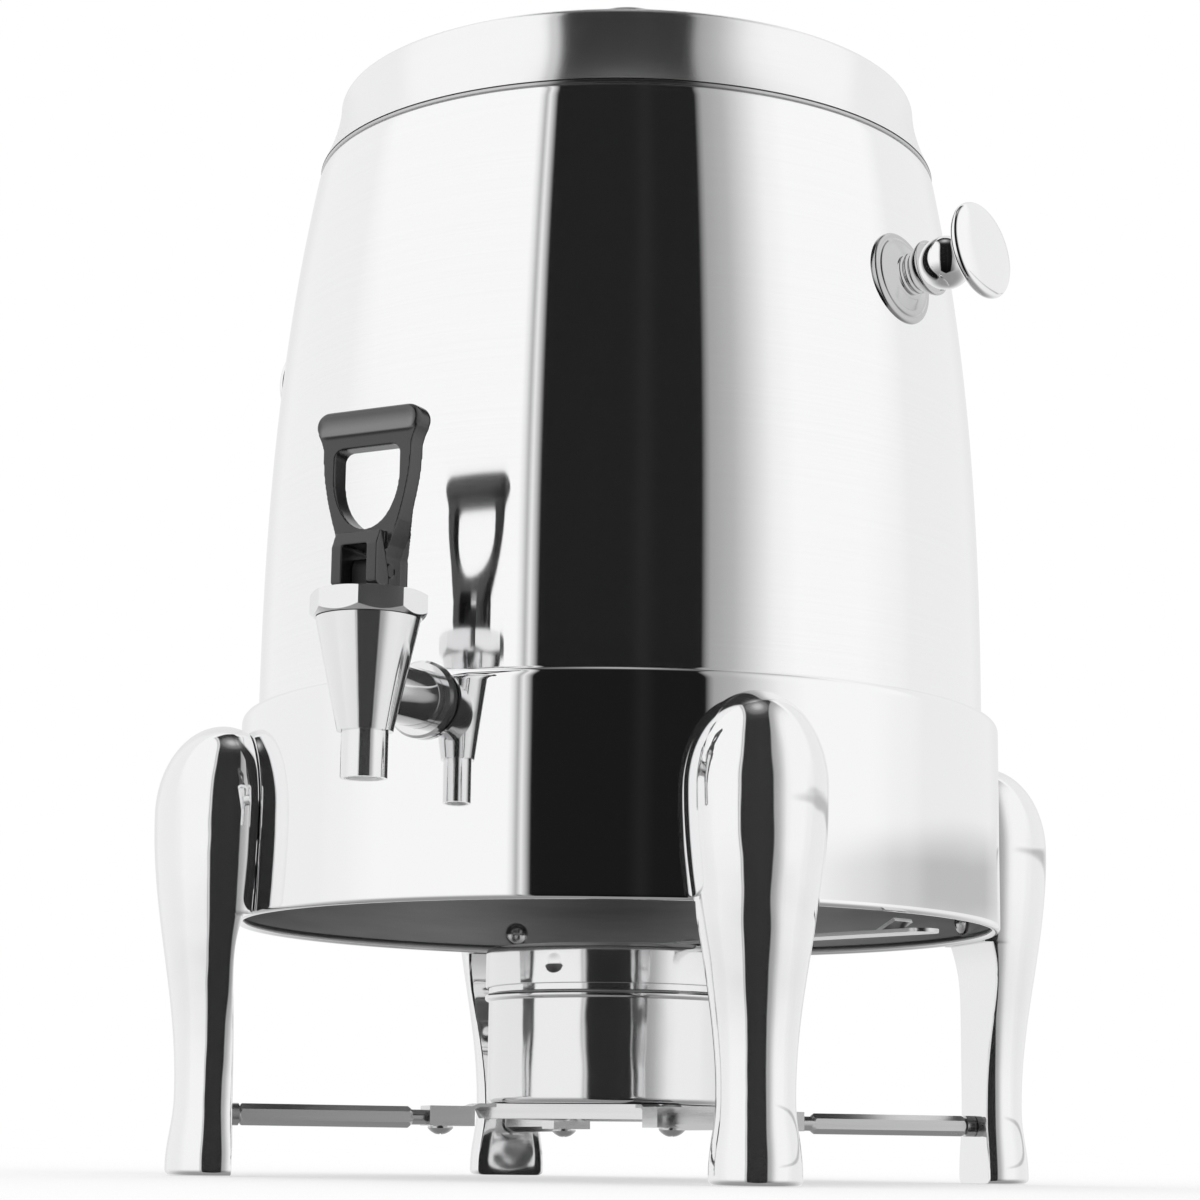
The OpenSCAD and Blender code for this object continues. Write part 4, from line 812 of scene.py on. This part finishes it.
def make_handle():
    d, t = FORK_BACK, LOOP_D / 2
    fork = ([heel_point(TILT * i / 12) for i in range(13)]
            + [(-d, FORK_UP * 0.6), (-d + 2.2, FORK_UP), (d - 3.4, FORK_UP), (d, FORK_UP * 0.35), (d, -HEEL + 2.5),
               (d - 2.5, -HEEL)])
    loop = [(FORK_W / 2 - 0.4, FORK_UP - 9)]
    # The loop widens again just under the grip, in a small fillet.
    loop += [(loop_half(h) + 2.2 * max(0, (h - LOOP_H + 5) / 7) ** 2, FORK_UP + h)
             for h in ((LOOP_H + 2) * i / 30 for i in range(31))]
    heights = [OPENING_LOW + (OPENING_TOP - OPENING_LOW) * (1 - math.cos(math.pi * i / 40)) / 2 for i in range(41)]
    opening = [(opening_half(h), FORK_UP + h) for h in heights]
    # Seen from the side, the loop's back runs down into the fork's back in a curve.
    depth = [(-t, FORK_UP - 9)]
    depth += [(t + (d - 0.4 - t) * (1 - ease(i / 16)), FORK_UP - 9 + 20 * i / 16) for i in range(17)]
    depth += [(t, FORK_UP + LOOP_H + 3), (-t, FORK_UP + LOOP_H + 3)]
    body = prism("tap_handle_moulded", fork, FORK_W / 2, 0)
    frame_part = prism("loop", mirrored(loop), d, 1)
    side_view = prism("side_view", depth, PAST, 0)
    cut_with(frame_part, "INTERSECT", side_view)
    slot = [(-PAST, -PAST), (PAST, -PAST), (PAST, SLOT_TOP), (-PAST, SLOT_TOP)]
    tools = [("UNION", frame_part), ("UNION", make_grip()),
             ("DIFFERENCE", prism("opening", mirrored(opening), PAST, 1)),
             ("DIFFERENCE", prism("slot", slot, SLOT_HALF, 0)),
             ("DIFFERENCE", prism("pin_hole", circle(PIN_HOLE_R), PAST, 0))]
    for operation, tool in tools:
        cut_with(body, operation, tool)
    voxels = body.modifiers.new("voxels", "REMESH")
    voxels.mode = "VOXEL"
    voxels.voxel_size = VOXEL * MM
    voxels.use_smooth_shade = True
    melt = body.modifiers.new("melt", "SMOOTH")
    melt.factor = 0.5
    melt.iterations = 6
    mesh = baked(body)
    for obj in [body, side_view] + [tool for _, tool in tools]:
        bpy.data.objects.remove(obj)
    return mesh

def press_in(mesh):
    """Presses the finger hollow into the grip's front, and a recess into each cheek."""
    normals = [Vector(v.vector) for v in mesh.vertex_normals]
    for vertex, normal in zip(mesh.vertices, normals):
        x, y, z = vertex.co / MM
        if y < 0 and z > GRIP_Z - GRIP_H / 2:
            away = math.hypot(max(0.0, abs(x) - GRIP_FLAT), z - GRIP_Z) / HOLLOW_R
            if away < 1:
                y += HOLLOW_DEPTH * (1 - away ** 2)
        if z < FORK_UP + 4 and abs(x) > 6 and abs(normal.y) < 0.8:
            ridge = -FORK_BACK + 3.4 + 4.2 * max(0.0, min(1.0, (FORK_UP + 1 - z) / 14)) ** 1.5
            deep = max(0.0, min(1.0, (y - ridge) / 1.2)) * max(0.0, min(1.0, (FORK_BACK - 1.2 - y) / 1.6))
            x -= math.copysign(CHEEK_DEPTH * deep * max(0.0, min(1.0, (FORK_UP + 4 - z) / 8)), x)
        vertex.co = Vector((x, y + TAP_Y, z + PIN_Z)) * MM

handle_mesh = make_handle()
press_in(handle_mesh)
handle = add_object("tap_handle_moulded", handle_mesh, ["tap_handle"], "handle", [handle_plastic],
                    sharp=60)
print("handle faces:", len(handle.data.polygons))

# %% [markdown]
# Painted light: the grip's front is painted paler as a sheen, palest along the lower half of its hollow.

# %% Painted light on the grip
# Paints light and shade into the plastic's colour: paler on the grip's front, palest low in its hollow.
def paint_light_on_grip(material, own_tone=0.010, painted_light=0.16):
    tree, shader = material.node_tree, material.node_tree.nodes["Principled BSDF"]
    x, y, z = coordinates(tree)
    middle = (PIN_Z + GRIP_Z) * MM
    front = (TAP_Y - GRIP_D / 2) * MM
    share = 1.0
    # Each: a coordinate, where the painted light is least, where it is full, and how much is left where it is least.
    for value, none, full, least in (
            (z, middle + 3.2 * MM, middle - 2.0 * MM, 0.25),
            (z, middle - 3.9 * MM, middle - 3.1 * MM, 0.0),
            (z, middle + 3.9 * MM, middle + 3.1 * MM, 0.0),
            (y, front + 2.4 * MM, front + 1.6 * MM, 0.0),
            (math_node(tree, "ABSOLUTE", x), (GRIP_FLAT + 3.4) * MM, (GRIP_FLAT + 1.6) * MM, 0.0)):
        share = math_node(tree, "MULTIPLY", fade(tree, value, none, full, least), share)
    # The painted light lifts the plastic's own dark tone towards the paler one.
    tone = math_node(tree, "ADD", own_tone, math_node(tree, "MULTIPLY", share, painted_light - own_tone))
    grey = node_of(tree, "ShaderNodeCombineColor", {"Red": tone, "Green": tone, "Blue": tone})
    feed(tree, shader, {"Base Color": grey.outputs[0]})

paint_light_on_grip(handle_plastic)
print("grip worn")

# %% [markdown]
# A spring round the valve's stem keeps the tap shut. The handle draws the stem up by 4.5 mm for each radian of tilt,
# and the spring shortens by as much towards the nut above it.

# %% Spring
def spring_mesh(low, high, radius=6.0, wire=0.6, turns=5, steps=24, sides=10):
    bm = bmesh.new()
    rings = []
    for i in range(turns * steps + 1):
        turn, z = math.tau * i / steps, low + wire + (high - low - 2 * wire) * i / (turns * steps)
        rings.append([bm.verts.new(Vector(((radius + wire * math.cos(a)) * math.cos(turn),
                                           TAP_Y + (radius + wire * math.cos(a)) * math.sin(turn),
                                           z + wire * math.sin(a))) * MM)
                      for a in (math.tau * k / sides for k in range(sides))])
    bridge(bm, rings)
    bm.faces.new(rings[0])
    bm.faces.new(rings[-1])
    return finished(bm, "tap_spring_wound")

spring_low, spring_high = (corner[2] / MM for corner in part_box("tap_spring"))
spring = add_object("tap_spring_wound", spring_mesh(spring_low, spring_high), ["tap_spring"], "urn",
                    [screw_steel])
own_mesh(spring)
print("spring length:", round(spring_high - spring_low, 1), "mm")

# %% [markdown]
# The rest keeps its CAD shape: the tap's casting and nut, the arms, the plate, the shutter, screws, seals and studs.
# A narrow bevel breaks their edges, so that each one catches light, and each gets the metal it is made of.

# %% Finish the CAD pieces
FINISH = [
    (tap_chrome, 0.25, ("tap_body", "tap_ring", "bonnet_nut", "tap_lock_nut", "tap_spacer")),
    (bar_steel, 0.3, ("arm_front_right", "arm_rear_right", "arm_rear_left", "arm_front_left", "burner_plate")),
    (bar_steel, 0.2, ("fuel_shutter",)),
    (screw_steel, 0.15, ("leg_screws", "arm_screws", "arm_lock_nuts", "shutter_rivet", "lid_knob_stud",
                         "knob_stud_right", "knob_stud_left")),
    (pin_steel, 0.15, ("handle_pin",)),
    (valve_plastic, 0.2, ("tap_stem",)),
    (seal_rubber, 0.1, ("stem_seal", "tank_seal", "seat_cup")),
    (lid_steel, 0.15, ("lid_locating_ring",)),
]

def finish_node(name, material, bevel):
    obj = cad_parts[name]
    for slot in obj.material_slots:
        slot.material = material
    if bevel:
        edge = obj.modifiers.new("broken_edges", "BEVEL")
        edge.width = bevel * MM
        edge.segments = 2
        edge.limit_method = "ANGLE"
        edge.angle_limit = math.radians(35)
        edge.harden_normals = True

for material, bevel, names in FINISH:
    for name in names:
        finish_node(name, material, bevel)
print("finished:", sum(len(names) for _, _, names in FINISH), "CAD nodes")
